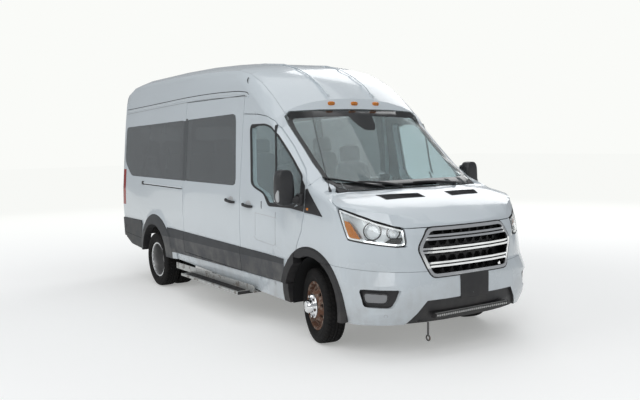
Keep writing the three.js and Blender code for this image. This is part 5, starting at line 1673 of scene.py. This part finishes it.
@dataclass
class NoseTrim:
    """Fine pieces of the nose: painted shade behind the grille and its gasket, intake, light bar, plate, hook
    and vents.

    Attributes:
        grille: Corners of the grille's surround, as (x, z).
        plate_half: Half the blank plate's width.
        plate: Its lower and upper edge.
        bar_half: Half the light bar's length.
        shrink: Sizes of the nested outlines that make up the dark screen.
        look: Turn of the view of the bumper's corner, in degrees from straight out.
    """

    grille: tuple = ((428, 1100), (-428, 1100), (-540, 935), (-436, 690), (436, 690), (540, 935))
    plate_half: float = 165.0
    plate: tuple[float, float] = (476.0, 692.0)
    bar_half: float = 422.0
    shrink: tuple = (0.02, 0.25, 0.5, 0.75, 1.0)
    look: float = -52.0

    def __post_init__(self) -> None:
        """Finds the nose's skins."""
        self.front = Skin(["front_bumper", "hood", "wing_left", "wing_right", "grille_trim"], View.FRONT)

    def grille_parts(self) -> None:
        """Adds a near-black sheet behind the lattice, painted shade of the opening behind the grille, and the
        thin gasket round the surround.
        """
        rim = densified(rounded(anticlockwise(np.array(self.grille, float)), 45, 6), 30, closed=True)
        back = grown(rim, 30) * (1.35, 1.0)
        middle = back.mean(axis=0)
        rings = []
        for depth, share in [(-834.0, s) for s in self.shrink] + [(-842.0, s) for s in self.shrink[::-1]]:
            flat = middle + share * (back - middle)
            bow = 118 * np.clip(np.abs(flat[:, 0]) / 560, 0, 1) ** 2.3
            rings.append(np.column_stack([flat[:, 0], depth + bow, flat[:, 1]]))
        # Painted shade: a near-black sheet that fills the opening behind the lattice.
        make_piece("grille_painted_shade", loft(np.stack(rings)), SHADE_BLACK)
        make_piece("grille_gasket", self.front.band(grown(rim, 1.0), grown(rim, 9.0), 1.0, 8.0), SEAM_AND_SHADE)

    def hood_vents(self) -> None:
        """Lays the two black vents on the hood with their fine slats."""
        skin = Skin(["hood"], View.TOP)
        for word, corners in (("right", ((-564, -372), (-118, -433), (-103, -521), (-543, -507))),
                              ("left", ((191, -430), (594, -413), (553, -512), (198, -533)))):
            outline = rounded(anticlockwise(np.array(corners, float)), 14)
            make_piece(f"hood_vent_{word}", skin.patch(outline, 1.6, 5.0, 35), TRIM, "hood_lid", 50)
            share = np.linspace(0.14, 0.86, 5)[:, None]
            a, b, c, d = (np.array(corner, float) for corner in corners)
            starts, ends = a + (d - a) * share, b + (c - b) * share
            inwards = 0.035 * (ends - starts)
            slats = [skin.strip(np.array([start, end]), 5, 4.2, 4.0, step=45, crown=1.5)
                     for start, end in zip(starts + inwards, ends - inwards)]
            make_piece(f"hood_slats_{word}", joined(slats), TRIM, "hood_lid", 50)

    def fog_lamp(self, side: float) -> None:
        """Adds one fog lamp: a dark ring, a chrome bowl and a clear cover deep in its recess."""
        word = side_word(side)
        skin = Skin(["fog_lamp_left"], View.LEFT, self.look)
        corners = skin.flatten(points_at((927, -685, 575), (792, -836, 567), (802, -825, 496),
                                         (920, -696, 498)))
        outline = rounded(anticlockwise(corners), 30, 6)
        dense = densified(outline, 16, closed=True)
        ring = skin.band(dense, grown(dense, 12), 13, 3)
        make_piece(f"fog_ring_{word}", ring.on(side), SMOKE, smooth=30)
        make_piece(f"fog_bowl_{word}", skin.patch(dense, 2.0, 3.0, 22).on(side), CHROME)
        make_piece(f"fog_cover_{word}", skin.patch(grown(dense, 1), 9.0, -6.0, 22).on(side), FOG)

    def light_bar(self) -> None:
        """Adds the light bar's silver body and its row of lamps."""
        across = np.linspace(-self.bar_half, self.bar_half, 3)
        path = np.column_stack([across, np.full(3, -1003.0), np.full(3, 366.0)])
        body = carried(path, soft_outline(13, 21, 5.0, 24))
        make_piece("light_bar_body", body, ALUMINIUM, smooth=30)
        places = np.linspace(-self.bar_half + 16, self.bar_half - 16, 34)
        one = stacked(round_section(1.0, 8), ((-1015.5, 10.5), (-1019.0, 9.5), (-1020.0, 4.0)), 1,
                      (0.0, 366.0))
        make_piece("light_bar_lamps", joined([one.shifted((x, 0.0, 0.0)) for x in places]), BULB,
                   smooth=50)

    def plate_and_hook(self) -> None:
        """Adds the blank dark plate, the hanging eye bolt and the parking sensors."""
        low, high = self.plate
        outline = soft_outline(self.plate_half, (high - low) / 2, 14.0, 48)
        layers = ((-1012.0, 1.0), (-1021.4, 1.0), (-1022.95, 0.985))
        make_piece("front_plate_blank", stacked(outline, layers, 1, (15.0, (low + high) / 2)), PLATE,
                   smooth=30)
        bolt = carried(points_at((-440, -930, 300), (-440, -930, 240), (-440, -930, 186)),
                       round_section(9, 12), up=(0.0, 1.0, 0.0))
        eye = revolved(round_section(7, 10) + (0.0, 22.0), 24).shifted((-440.0, -930.0, 164.0))
        make_piece("front_tie_eye", joined([bolt, eye]), TIE, smooth=50)
        for word, x in (("right", -1.0), ("left", 1.0)):
            skin = Skin(["front_bumper"], View.LEFT, self.look)
            spot = skin.flatten(points_at((810, -828, 383)))[0]
            disc = skin.patch(spot + round_section(13, 20), 1.2, 3.0, 9)
            ring = skin.band(spot + round_section(13, 20), spot + round_section(17, 20), 0.8, 3.0)
            make_piece(f"park_sensor_{word}", disc.on(x), WHITE, smooth=50)
            make_piece(f"park_sensor_ring_{word}", ring.on(x), MARK, smooth=50)

    def intake(self) -> None:
        """Adds the thin bars behind the lower intake."""
        section = soft_outline(6, 5, 3.0, 10)
        bars = [carried(points_at((-520, -905, z), (0, -925, z), (520, -905, z)), section)
                for z in np.arange(318, 480, 26)]
        make_piece("intake_bars", joined(bars), TRIM, smooth=50)

    def build(self) -> None:
        """Builds every piece of the nose."""
        self.grille_parts()
        self.hood_vents()
        for side in SIDES.values():
            self.fog_lamp(side)
        self.light_bar()
        self.plate_and_hook()
        self.intake()


# ---- Windscreen and roof ----
@dataclass
class ScreenTrim:
    """The windscreen's dark border, sensor patch and wipers.

    Attributes:
        half: Left half of the glass's outline, as (x, z).
        border: Least width of the dark border.
    """

    half: tuple = ((0, 2150), (430, 2144), (760, 2128), (820, 2080), (817, 1792), (827, 1560), (838, 1470),
                   (785, 1424), (700, 1398), (620, 1391), (330, 1399))
    border: float = 44.0

    def __post_init__(self) -> None:
        """Finds the glass's skin and its whole outline."""
        self.skin = Skin(["windscreen"], View.FRONT)
        half = np.array(self.half, float)
        self.outline = anticlockwise(np.vstack([half, (half * (-1, 1))[:0:-1]]))

    def frit(self) -> None:
        """Lays the border, wider at its top and bottom, and the sensor patch in the middle of the top."""
        rim = densified(self.outline, 40, closed=True)
        high = np.clip((rim[:, 1] - 1950) / 150, 0, 1)
        low = np.clip((1430 - rim[:, 1]) / 40, 0, 1)
        width = self.border + 26 * high + 22 * low
        inner = rim - (grown(rim, 1.0) - rim) * width[:, None]
        make_piece("windscreen_border", self.skin.band(inner, grown(rim, -5.0), 1.0, 3.0), FRIT, smooth=50)
        wedge = points_at((-170, 2130), (170, 2130), (110, 1990), (60, 1935), (-60, 1935), (-110, 1990))
        make_piece("sensor_patch", self.skin.patch(rounded(anticlockwise(wedge), 24), 0.8, 3.0, 50), FRIT,
                   smooth=50)

    def wiper(self, name: str, blade: Points, pivot: tuple[float, float]) -> None:
        """Makes a wiper: a spine and a rubber along the glass, and an arm that rises from its pivot."""
        line = densified(blade, 40)
        spine = carried(self.skin.laid(line, 15.0), soft_outline(7, 6, 3.0, 12), up=(0.0, -0.6, 0.6))
        rubber = carried(self.skin.laid(line, 5.0), soft_outline(3.0, 7, 3.0, 10), up=(0.0, -0.6, 0.6))
        middle = blade[0] + 0.55 * (blade[-1] - blade[0])
        reach = np.linspace(0, 1, 14)[:, None]
        arm_line = np.array(pivot, float) + reach * (middle - np.array(pivot, float))
        rise = 16 + 18 * np.sin(np.pi * reach[:, 0])
        arm_path = self.skin.laid(arm_line, 0.0)
        arm_path[:, 1] -= rise * 0.8
        arm_path[:, 2] += rise * 0.6
        arm = carried(arm_path, soft_outline(12, 7, 3.0, 14), up=(0.0, -0.6, 0.6),
                      scale=1.2 - 0.5 * reach[:, 0])
        layers = [(arm_path[0, 2] + z, size) for z, size in ((-30, 0.8), (4, 1.0), (12, 0.9), (15, 0.5))]
        cap = stacked(round_section(20, 20), layers, 2, arm_path[0, :2])
        make_piece(name, joined([spine, rubber, arm, cap]), TRIM)

    def build(self) -> None:
        """Builds the border and both wipers."""
        self.frit()
        self.wiper("wiper_right", points_at((-850, 1512), (-330, 1412)), (-150.0, 1403.0))
        self.wiper("wiper_left", points_at((-330, 1430), (310, 1424)), (520.0, 1400.0))


@dataclass
class RoofTrim:
    """The roof's pressed ribs, marker lamps and aerial."""

    def __post_init__(self) -> None:
        """Finds the roof's skins from above and from ahead."""
        self.top = Skin(["roof", "side_left", "side_right"], View.TOP)
        self.front = Skin(["roof", "side_left", "side_right", "windscreen"], View.FRONT)

    def ribs(self) -> None:
        """Lays the two ribs pressed into the roof."""
        for word, x in SIDES.items():
            line = points_at((x * 280, 745), (x * 280, 4780))
            rib = self.top.strip(line, 20, 1.5, 6.0, 40, crown=2.5)
            make_piece(f"roof_rib_{word}", rib, WHITE, smooth=60)

    def markers(self) -> None:
        """Sets the three marker lamps over the windscreen."""
        base = soft_outline(40, 15, 3.0, 28)
        for word, x in (("right", -277.0), ("middle", 0.0), ("left", 277.0)):
            place = self.front.laid(points_at((x, 2204.0)), 0.0)[0]
            rings = []
            for out, size in ((-8.0, 1.0), (12.0, 1.0), (20.0, 0.86), (24.0, 0.55)):
                wide, deep = size * base.T
                rings.append(np.column_stack([place[0] + wide, place[1] - 0.45 * out + 0.9 * deep,
                                              place[2] + 0.9 * out + 0.5 * deep]))
            make_piece(f"marker_lamp_{word}", loft(np.stack(rings)), AMBER, smooth=50)

    def aerial(self) -> None:
        """Raises the aerial from the right wing, on a short foot."""
        knots = points_at((-876, -128, 1408), (-877, -118, 1440), (-880, -40, 1640), (-884, 60, 1900),
                          (-886, 118, 2070))
        stem = swept_line(knots, 8)
        taper = np.linspace(1.0, 0.55, len(stem))
        rod = carried(stem, round_section(4.2, 10), up=(1.0, 0.0, 0.0), scale=taper)
        foot = carried(points_at((-874, -136, 1392), (-876, -128, 1412), (-877, -120, 1434)),
                       round_section(15, 16), up=(1.0, 0.0, 0.0), scale=np.array([1.0, 0.8, 0.4]))
        make_piece("aerial", joined([rod, foot]), TRIM, smooth=50)

    def build(self) -> None:
        """Builds every piece of the roof."""
        self.ribs()
        self.markers()
        self.aerial()


# ---- Rear ----
@dataclass
class RearTrim:
    """Rear doors' handle, hinges and seals, lamp segments, high stop lamp, plate lamp and step pad."""

    def __post_init__(self) -> None:
        """Finds the rear's skin, from which the trim is laid."""
        self.skin = Skin(["rear_door_left", "rear_door_right", "roof", "side_left", "side_right",
                          "tail_lamp_left", "tail_lamp_right"], View.REAR)
        self.door = Skin(["rear_door_left"], View.REAR)

    def hinge(self, z: float) -> Form:
        """Makes one strap hinge of the left door: a barrel on the pillar edge and a leaf on the door."""
        barrel = carried(points_at((893, 4957, z - 52), (893, 4957, z), (893, 4957, z + 52)),
                         round_section(9, 16), up=(0.0, 1.0, 0.0))
        outline = points_at((790, z - 30), (862, z - 36), (862, z + 36), (790, z + 30))
        leaf = self.door.patch(rounded(outline, 12), 5.0, 4.0, 30)
        return joined([barrel, leaf])

    def hinges(self, word: str, side: float) -> None:
        """Adds one rear door's three hinges."""
        straps = joined([self.hinge(z) for z in (1010.0, 1380.0, 2200.0)])
        make_piece(f"rear_hinges_{word}", straps.on(side), WHITE, f"{word}_rear_door")

    def window_seal(self, word: str, side: float) -> None:
        """Adds the seal round one rear door's window."""
        window = rounded(points_at((95, 1425), (765, 1425), (745, 2095), (95, 2095)), 60)
        outline = densified(window, 40, closed=True)
        glass = Skin([f"rear_door_{word}", f"rear_door_glass_{word}"], View.REAR)
        flip = (side, 1.0)
        ring = glass.band(grown(outline, -22) * flip, grown(outline, 1) * flip, 1.5, 4.0)
        make_piece(f"rear_window_seal_{word}", ring, TRIM, f"{word}_rear_door")

    def lamp_parts(self, word: str, side: float) -> None:
        """Adds one tail lamp's four lenses, from the stop lamp down."""
        lamp = Skin([f"tail_lamp_{word}"], View.REAR)
        for name, low, high, finish in (("stop", 1335, 1488, RED_LENS), ("turn", 1212, 1322, AMBER),
                                        ("reverse", 1118, 1199, FROSTED), ("mark", 1022, 1106, RED_LENS)):
            outline = points_at((912, low), (975, low), (968, high), (904, high)) * (side, 1.0)
            lens = lamp.patch(rounded(anticlockwise(outline), 9), 3.0, 3.0, 30)
            make_piece(f"rear_lamp_{name}_{word}", lens, finish)

    def handle(self) -> None:
        """Adds the right rear door's upright pull handle over its bowl, darkened as painted shade."""
        share = np.linspace(-1, 1, 21)
        z = 1165 + 110 * share
        depth = self.skin.reach(np.column_stack([np.full(21, -62.0), z]))
        grip = carried(np.column_stack([np.full(21, -62.0), depth + 3 + 30 * (1 - share**4), z]),
                       soft_outline(15, 9, 3.0, 16), up=(0.0, 1.0, 0.0))
        make_piece("rear_handle_grip", grip, TRIM, "right_rear_door", 50)
        bowl = rounded(points_at((-112, 1060), (-18, 1060), (-18, 1270), (-112, 1270)), 30)
        # Painted shade: the bowl's paint is the body's white darkened in the recess.
        make_piece("rear_handle_bowl", self.skin.patch(bowl, 1.2, 4.0, 30), SHADED_BOWL, "right_rear_door")

    def stop_and_plate_lamps(self) -> None:
        """Adds the high stop lamp over the doors and the plate lamp's housing on the right one."""
        lens = soft_outline(150, 15, 5.0, 36)
        place = self.skin.laid(points_at((0.0, 2545.0)), 0.0)[0]
        layers = [(place[1] + out, size) for out, size in ((-20.0, 1.0), (9.0, 1.0), (14.0, 0.93))]
        make_piece("high_stop_lamp", stacked(lens, layers, 1, (0.0, place[2])), RED_LENS)
        box = box_form((-390, 4936, 842), (-270, 4958, 872), 6)
        make_piece("plate_lamp_housing", box, TRIM, "right_rear_door")

    def bumper(self) -> None:
        """Adds the step's ribs, and on each side a near-black line of painted shade in the bumper's groove,
        and its round reflector.
        """
        ribs = [box_form((-860, y, 824.5), (860, y + 5, 828.5)) for y in np.arange(4958, 5000, 9.0)]
        make_piece("rear_step_ribs", joined(ribs), TRIM, smooth=30)
        for word, side in SIDES.items():
            wall = Skin(["rear_bumper"], View.beside(side))
            # The groove is drawn as a near-black line: painted shade in the groove.
            groove = wall.strip(points_at((4890, 612), (4263, 580)), 6, 0.8, 3.0, 40)
            make_piece(f"bumper_groove_shade_{word}", groove, SEAM_AND_SHADE)
            spot = round_section(24, 24) + (4860.0, 705.0)
            make_piece(f"side_reflector_{word}", wall.patch(spot, 3.0, 3.0, 12), TRIM, smooth=50)

    def build(self) -> None:
        """Builds every piece of the rear."""
        for word, side in SIDES.items():
            self.hinges(word, side)
            self.lamp_parts(word, side)
            self.window_seal(word, side)
        self.handle()
        self.stop_and_plate_lamps()
        self.bumper()


# ---- Side step ----
@dataclass
class SideStep:
    """The side step's ribbed pad, its rolled front edge and its end caps.

    Attributes:
        x: Outer and inner edge.
        y: Front and rear end.
        top: Level of its upper face.
    """

    x: tuple[float, float] = (-1170.0, -905.0)
    y: tuple[float, float] = (1150.0, 2600.0)
    top: float = 330.0

    @staticmethod
    def level_line(x: float, start: float, end: float, z: float) -> Points:
        """Gives a straight level path along the van, with its middle."""
        return points_at((x, start, z), (x, (start + end) / 2, z), (x, end, z))

    def build(self) -> None:
        """Builds the pad's base, its ribs, the front edge and the end caps."""
        x0 = self.x[0]
        y0, y1 = self.y
        pad = box_form((x0 + 26, y0 + 60, self.top + 0.2), (x0 + 120, y1 - 60, self.top + 4.0), 10)
        make_piece("step_pad", pad, TRIM, smooth=30)
        section = soft_outline(2.6, 3.2, 3.0, 8)
        ribs = [carried(self.level_line(x, y0 + 66, y1 - 66, self.top + 4), section)
                for x in np.arange(x0 + 34, x0 + 116, 9.0)]
        make_piece("step_ribs", joined(ribs), TRIM)
        edge = carried(self.level_line(x0 + 3, y0, y1, self.top - 10), soft_outline(9, 15, 4.0, 20))
        make_piece("step_edge", edge, ALUMINIUM)
        caps = [box_form((x0 - 4, y - 8, self.top - 26), (self.x[1], y + 8, self.top + 3), 5) for y in self.y]
        make_piece("step_end_caps", joined(caps), TRIM)


# ---- Cabin ----
@dataclass
class Seat:
    """One seat: crowned cushion, back and headrest with their welts, a plastic skirt and posts.

    Attributes:
        name: Name that its pieces start with.
        x: Its two sides.
        y: Its front edge.
        floor: Level that it stands on.
        stands_for: Solid that its cushion replaces, if any.
    """

    name: str
    x: tuple[float, float]
    y: float
    floor: float
    stands_for: str = ""

    def pad(self, middle: Triple, half: Triple, lean: float, crown: float, channel: float = 0.0) -> Form:
        """Makes a pad: a rounded box whose faces swell between its edges and dip along two channels.

        A grid over a sphere is pulled to a box by the power rule, then its broad faces rise by
        the crown times (1 - a^2)(1 - b^2), and sink where |a| is near the channel's place.

        Args:
            middle: Where the pad's middle stands.
            half: Half its size across, along and through.
            lean: Turn about the crosswise axis, in degrees.
            crown: How far its broad faces swell.
            channel: Depth of the two channels.

        Returns:
            The closed pad.
        """
        u, v = np.meshgrid(np.linspace(-math.pi / 2, math.pi / 2, 25), turns(48), indexing="ij")
        a = powered(np.cos(u), 0.35) * powered(np.cos(v), 0.42)
        b = powered(np.cos(u), 0.35) * powered(np.sin(v), 0.42)
        c = powered(np.sin(u), 0.55)
        swell = (1 - a**2) * (1 - b**2)
        groove = np.exp(-((np.abs(a) - 0.56) / 0.05) ** 2) * channel * np.clip(swell * 4, 0, 1)
        points = np.stack([half[0] * a * (1 - 0.03 * (1 - np.abs(c))), half[1] * b,
                           half[2] * c + np.sign(c) * (crown * swell - groove)], -1)
        flat = points.reshape(-1, 3)
        turn = np.array(Matrix.Rotation(math.radians(lean), 3, "X"))
        placed = (flat @ turn.T + middle).reshape(u.shape + (3,))
        return loft(placed)

    def build(self) -> None:
        """Builds the seat's soft and hard pieces."""
        x0, x1 = self.x
        middle, half = (x0 + x1) / 2, (x1 - x0) / 2
        pads = {
            "cushion": ((middle, self.y + 250, self.floor + 352), (half - 5, 248, 52), -4.0, 16.0, 7.0),
            "back": ((middle, self.y + 548, self.floor + 668), (half - 7, 338, 46), 76.0, 13.0, 6.0),
            "headrest": ((middle, self.y + 655, self.floor + 1086), (126, 92, 42), 80.0, 8.0),
        }
        for part, shape in pads.items():
            piece = make_piece(f"{self.name}_{part}", self.pad(*shape), SEAT_CLOTH, smooth=70,
                               replaces=(self.stands_for,) if self.stands_for and part == "cushion" else ())
        base = self.floor + 1
        skirt = box_form((x0 + 38, self.y + 60, base), (x1 - 38, self.y + 465, self.floor + 298), 40)
        post = carried(points_at((0, 622, 960), (0, 634, 1000), (0, 645, 1050)), round_section(6, 10),
                       up=(0.0, 1.0, 0.0))
        posts = [post.shifted((middle + dx, self.y, self.floor)) for dx in (-52.0, 52.0)]
        make_piece(f"{self.name}_frame", joined([skirt] + posts), TRIM)


@dataclass
class Cabin:
    """What shows through the glass: seats, instrument hood, screen and small things on the dashboard.

    Attributes:
        rows: Front edges of the passengers' seat rows.
    """

    rows: tuple[float, ...] = (1700.0, 2500.0, 3300.0, 4050.0)

    def build(self) -> None:
        """Builds the cabin's pieces."""
        Seat("driver_seat", (150.0, 640.0), 700.0, 600.0, "driver_seat").build()
        Seat("front_passenger_seat", (-640.0, -150.0), 700.0, 600.0, "front_passenger_seat").build()
        for number, y in enumerate(self.rows, 1):
            for word, x in (("window", (459.0, 888.0)), ("aisle", (30.0, 459.0)),
                            ("single", (-888.0, -440.0))):
                first = number == 1 and word == "window"
                Seat(f"row{number}_{word}_seat", x, y, 700.0, "passenger_seats" if first else "").build()
        make_piece("instrument_hood", self.instrument_hood(), DARK_LINING, smooth=60)
        screen = box_form((-120, 420, 1215), (120, 445, 1330), 8)
        make_piece("centre_screen", screen, SMOKE)
        paper = box_form((-760, 200, 1336.5), (-560, 340, 1338.5))
        make_piece("dash_sheet", paper, PAPER)
        tray = box_form((560, -20, 1332), (700, 60, 1392), 14)
        make_piece("dash_box", tray, GREEN)
        tag = box_form((600, -23, 1350), (650, -20.3, 1384), 3)
        make_piece("dash_tag", tag, YELLOW)

    def instrument_hood(self) -> Form:
        """Carries an arch over the instruments, ahead of the steering wheel."""
        turn = np.linspace(0, math.pi, 24)
        outer = np.column_stack([395 + 165 * np.cos(turn), 1318 + 52 * np.sin(turn)])
        inner = np.column_stack([395 + 150 * np.cos(turn), 1306 + 42 * np.sin(turn)])
        outline = np.vstack([outer, inner[::-1]])
        rings = np.stack([np.column_stack([outline[:, 0], np.full(len(outline), y), outline[:, 1] + dz])
                          for y, dz in ((240.0, -18.0), (300.0, 0.0), (425.0, 2.0))])
        return loft(rings)


# ---- Studio ----
@dataclass
class Studio:
    """Pale floor, soft lamps, white surroundings and the camera.

    Attributes:
        floor_half: Half the floor's width, in metres.
        floor_color: The floor's colour near the van.
        eye: Where the camera stands, in metres.
        yaw: Its turn to the right from straight back along the van, in degrees.
        pitch: How far it looks down.
        roll: Its tilt.
        lens: Its focal length in millimetres.
        shift: Shift of the picture's middle.
    """

    floor_half: float = 60.0
    floor_color: Triple = (0.80, 0.80, 0.80)
    eye: Triple = (-4.6065, -7.7273, 1.8386)
    yaw: float = 33.87
    pitch: float = 7.24
    roll: float = -1.18
    lens: float = 42.956
    shift: tuple[float, float] = (-0.0213, 0.0587)

    def lay_floor(self) -> None:
        """Makes a wide flat sheet at the ground whose colour shows white to the camera."""
        half = self.floor_half
        mesh = bpy.data.meshes.new("studio_floor")
        corners = [(-half, -half, 0), (half, -half, 0), (half, half, 0), (-half, half, 0)]
        mesh.from_pydata(corners, [], [(0, 1, 2, 3)])
        floor = bpy.data.objects.new("studio_floor", mesh)
        bpy.context.scene.collection.objects.link(floor)
        material = bpy.data.materials.new("pale_floor")
        material.use_nodes = True
        material.node_tree.nodes.clear()
        w = Wiring(material.node_tree)
        place = w.add("TexCoord").outputs["Object"]
        distance = w.add("VectorMath", {0: place}, operation="LENGTH").outputs["Value"]
        far = w.span(distance, 5.0, 16.0)
        path = w.add("LightPath")
        seen = w.math("MAXIMUM", path.outputs["Is Camera Ray"], path.outputs["Is Glossy Ray"])
        seen = w.math("MAXIMUM", seen, path.outputs["Is Transmission Ray"])
        glow = w.times(seen, w.span(distance, 3.0, 14.0, 0.30, 0.97))
        color = w.mix(far, rgba(self.floor_color), (0.0, 0.0, 0.0, 1.0))
        shader = w.add("BsdfPrincipled", {"Base Color": color, "Roughness": 0.9, "Specular IOR Level": 0.0,
                                          "Emission Color": (0.965, 0.975, 0.95, 1.0),
                                          "Emission Strength": glow})
        w.add("OutputMaterial", {"Surface": shader.outputs[0]})
        mesh.materials.append(material)

    def light_world(self) -> None:
        """Makes a soft even sky that shows white to the camera and through glass."""
        world = bpy.data.worlds.new("studio_world")
        world.use_nodes = True
        world.node_tree.nodes.clear()
        w = Wiring(world.node_tree)
        path = w.add("LightPath")
        seen = w.math("MAXIMUM", path.outputs["Is Camera Ray"], path.outputs["Is Transmission Ray"])
        soft = w.add("Background", {"Color": (0.93, 0.96, 1.0, 1.0), "Strength": 0.36})
        white = w.add("Background", {"Color": (0.956, 0.965, 0.94, 1.0), "Strength": 1.0})
        both = w.add("MixShader", {0: seen, 1: soft.outputs[0], 2: white.outputs[0]})
        w.add("OutputWorld", {"Surface": both.outputs[0]})
        bpy.context.scene.world = world

    def hang_lamp(self, name: str, place: Triple, size: float, power: float) -> None:
        """Hangs one square lamp that faces the van."""
        lamp = bpy.data.lights.new(name, "AREA")
        lamp.shape = "SQUARE"
        lamp.size = size
        lamp.energy = power
        item = bpy.data.objects.new(name, lamp)
        item.location = place
        item.rotation_euler = (Vector((0.0, 0.0, 1.2)) - Vector(place)).to_track_quat("-Z", "Y").to_euler()
        bpy.context.scene.collection.objects.link(item)

    def set_camera(self) -> None:
        """Places the camera by its eye, its turn and its tilt."""
        yaw, pitch, roll = (math.radians(v) for v in (self.yaw, self.pitch, self.roll))
        ahead = Vector((math.sin(yaw) * math.cos(pitch), math.cos(yaw) * math.cos(pitch), -math.sin(pitch)))
        right = Vector((math.cos(yaw), -math.sin(yaw), 0.0))
        up = right.cross(ahead)
        turned_right = right * math.cos(roll) + up * math.sin(roll)
        turned_up = up * math.cos(roll) - right * math.sin(roll)
        matrix = Matrix((turned_right, turned_up, -ahead)).transposed().to_4x4()
        matrix.translation = Vector(self.eye)
        data = bpy.data.cameras.new("studio_camera")
        data.lens = self.lens
        data.sensor_width = 36.0
        data.shift_x, data.shift_y = self.shift
        camera = bpy.data.objects.new("studio_camera", data)
        camera.matrix_world = matrix
        bpy.context.scene.collection.objects.link(camera)
        bpy.context.scene.camera = camera

    def build(self) -> None:
        """Sets up the whole studio."""
        self.set_camera()
        self.lay_floor()
        self.light_world()
        self.hang_lamp("front_lamp", (-7.0, -10.0, 9.0), 8.0, 470.0)
        self.hang_lamp("side_lamp", (-11.0, 1.0, 7.0), 7.0, 240.0)
        self.hang_lamp("top_lamp", (1.0, 0.0, 12.0), 10.0, 265.0)
        self.hang_lamp("far_lamp", (9.0, 6.0, 8.0), 7.0, 300.0)
        bpy.context.scene.view_settings.view_transform = "Standard"


def main() -> None:
    """Builds the studio, dresses the solids and adds each sub-assembly's fine pieces."""
    logging.basicConfig(level=logging.INFO, format="%(message)s")
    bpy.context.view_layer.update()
    Studio().build()
    dress_nodes()
    Panels().build()
    for side in SIDES.values():
        SideTrim(side).build()
        Mirror(side).build()
        FrontWheel(side).build()
        RearWheels(side).build()
        Headlamp(side).build()
    NoseTrim().build()
    ScreenTrim().build()
    RoofTrim().build()
    RearTrim().build()
    SideStep().build()
    Cabin().build()


if __name__ == "__main__":
    main()
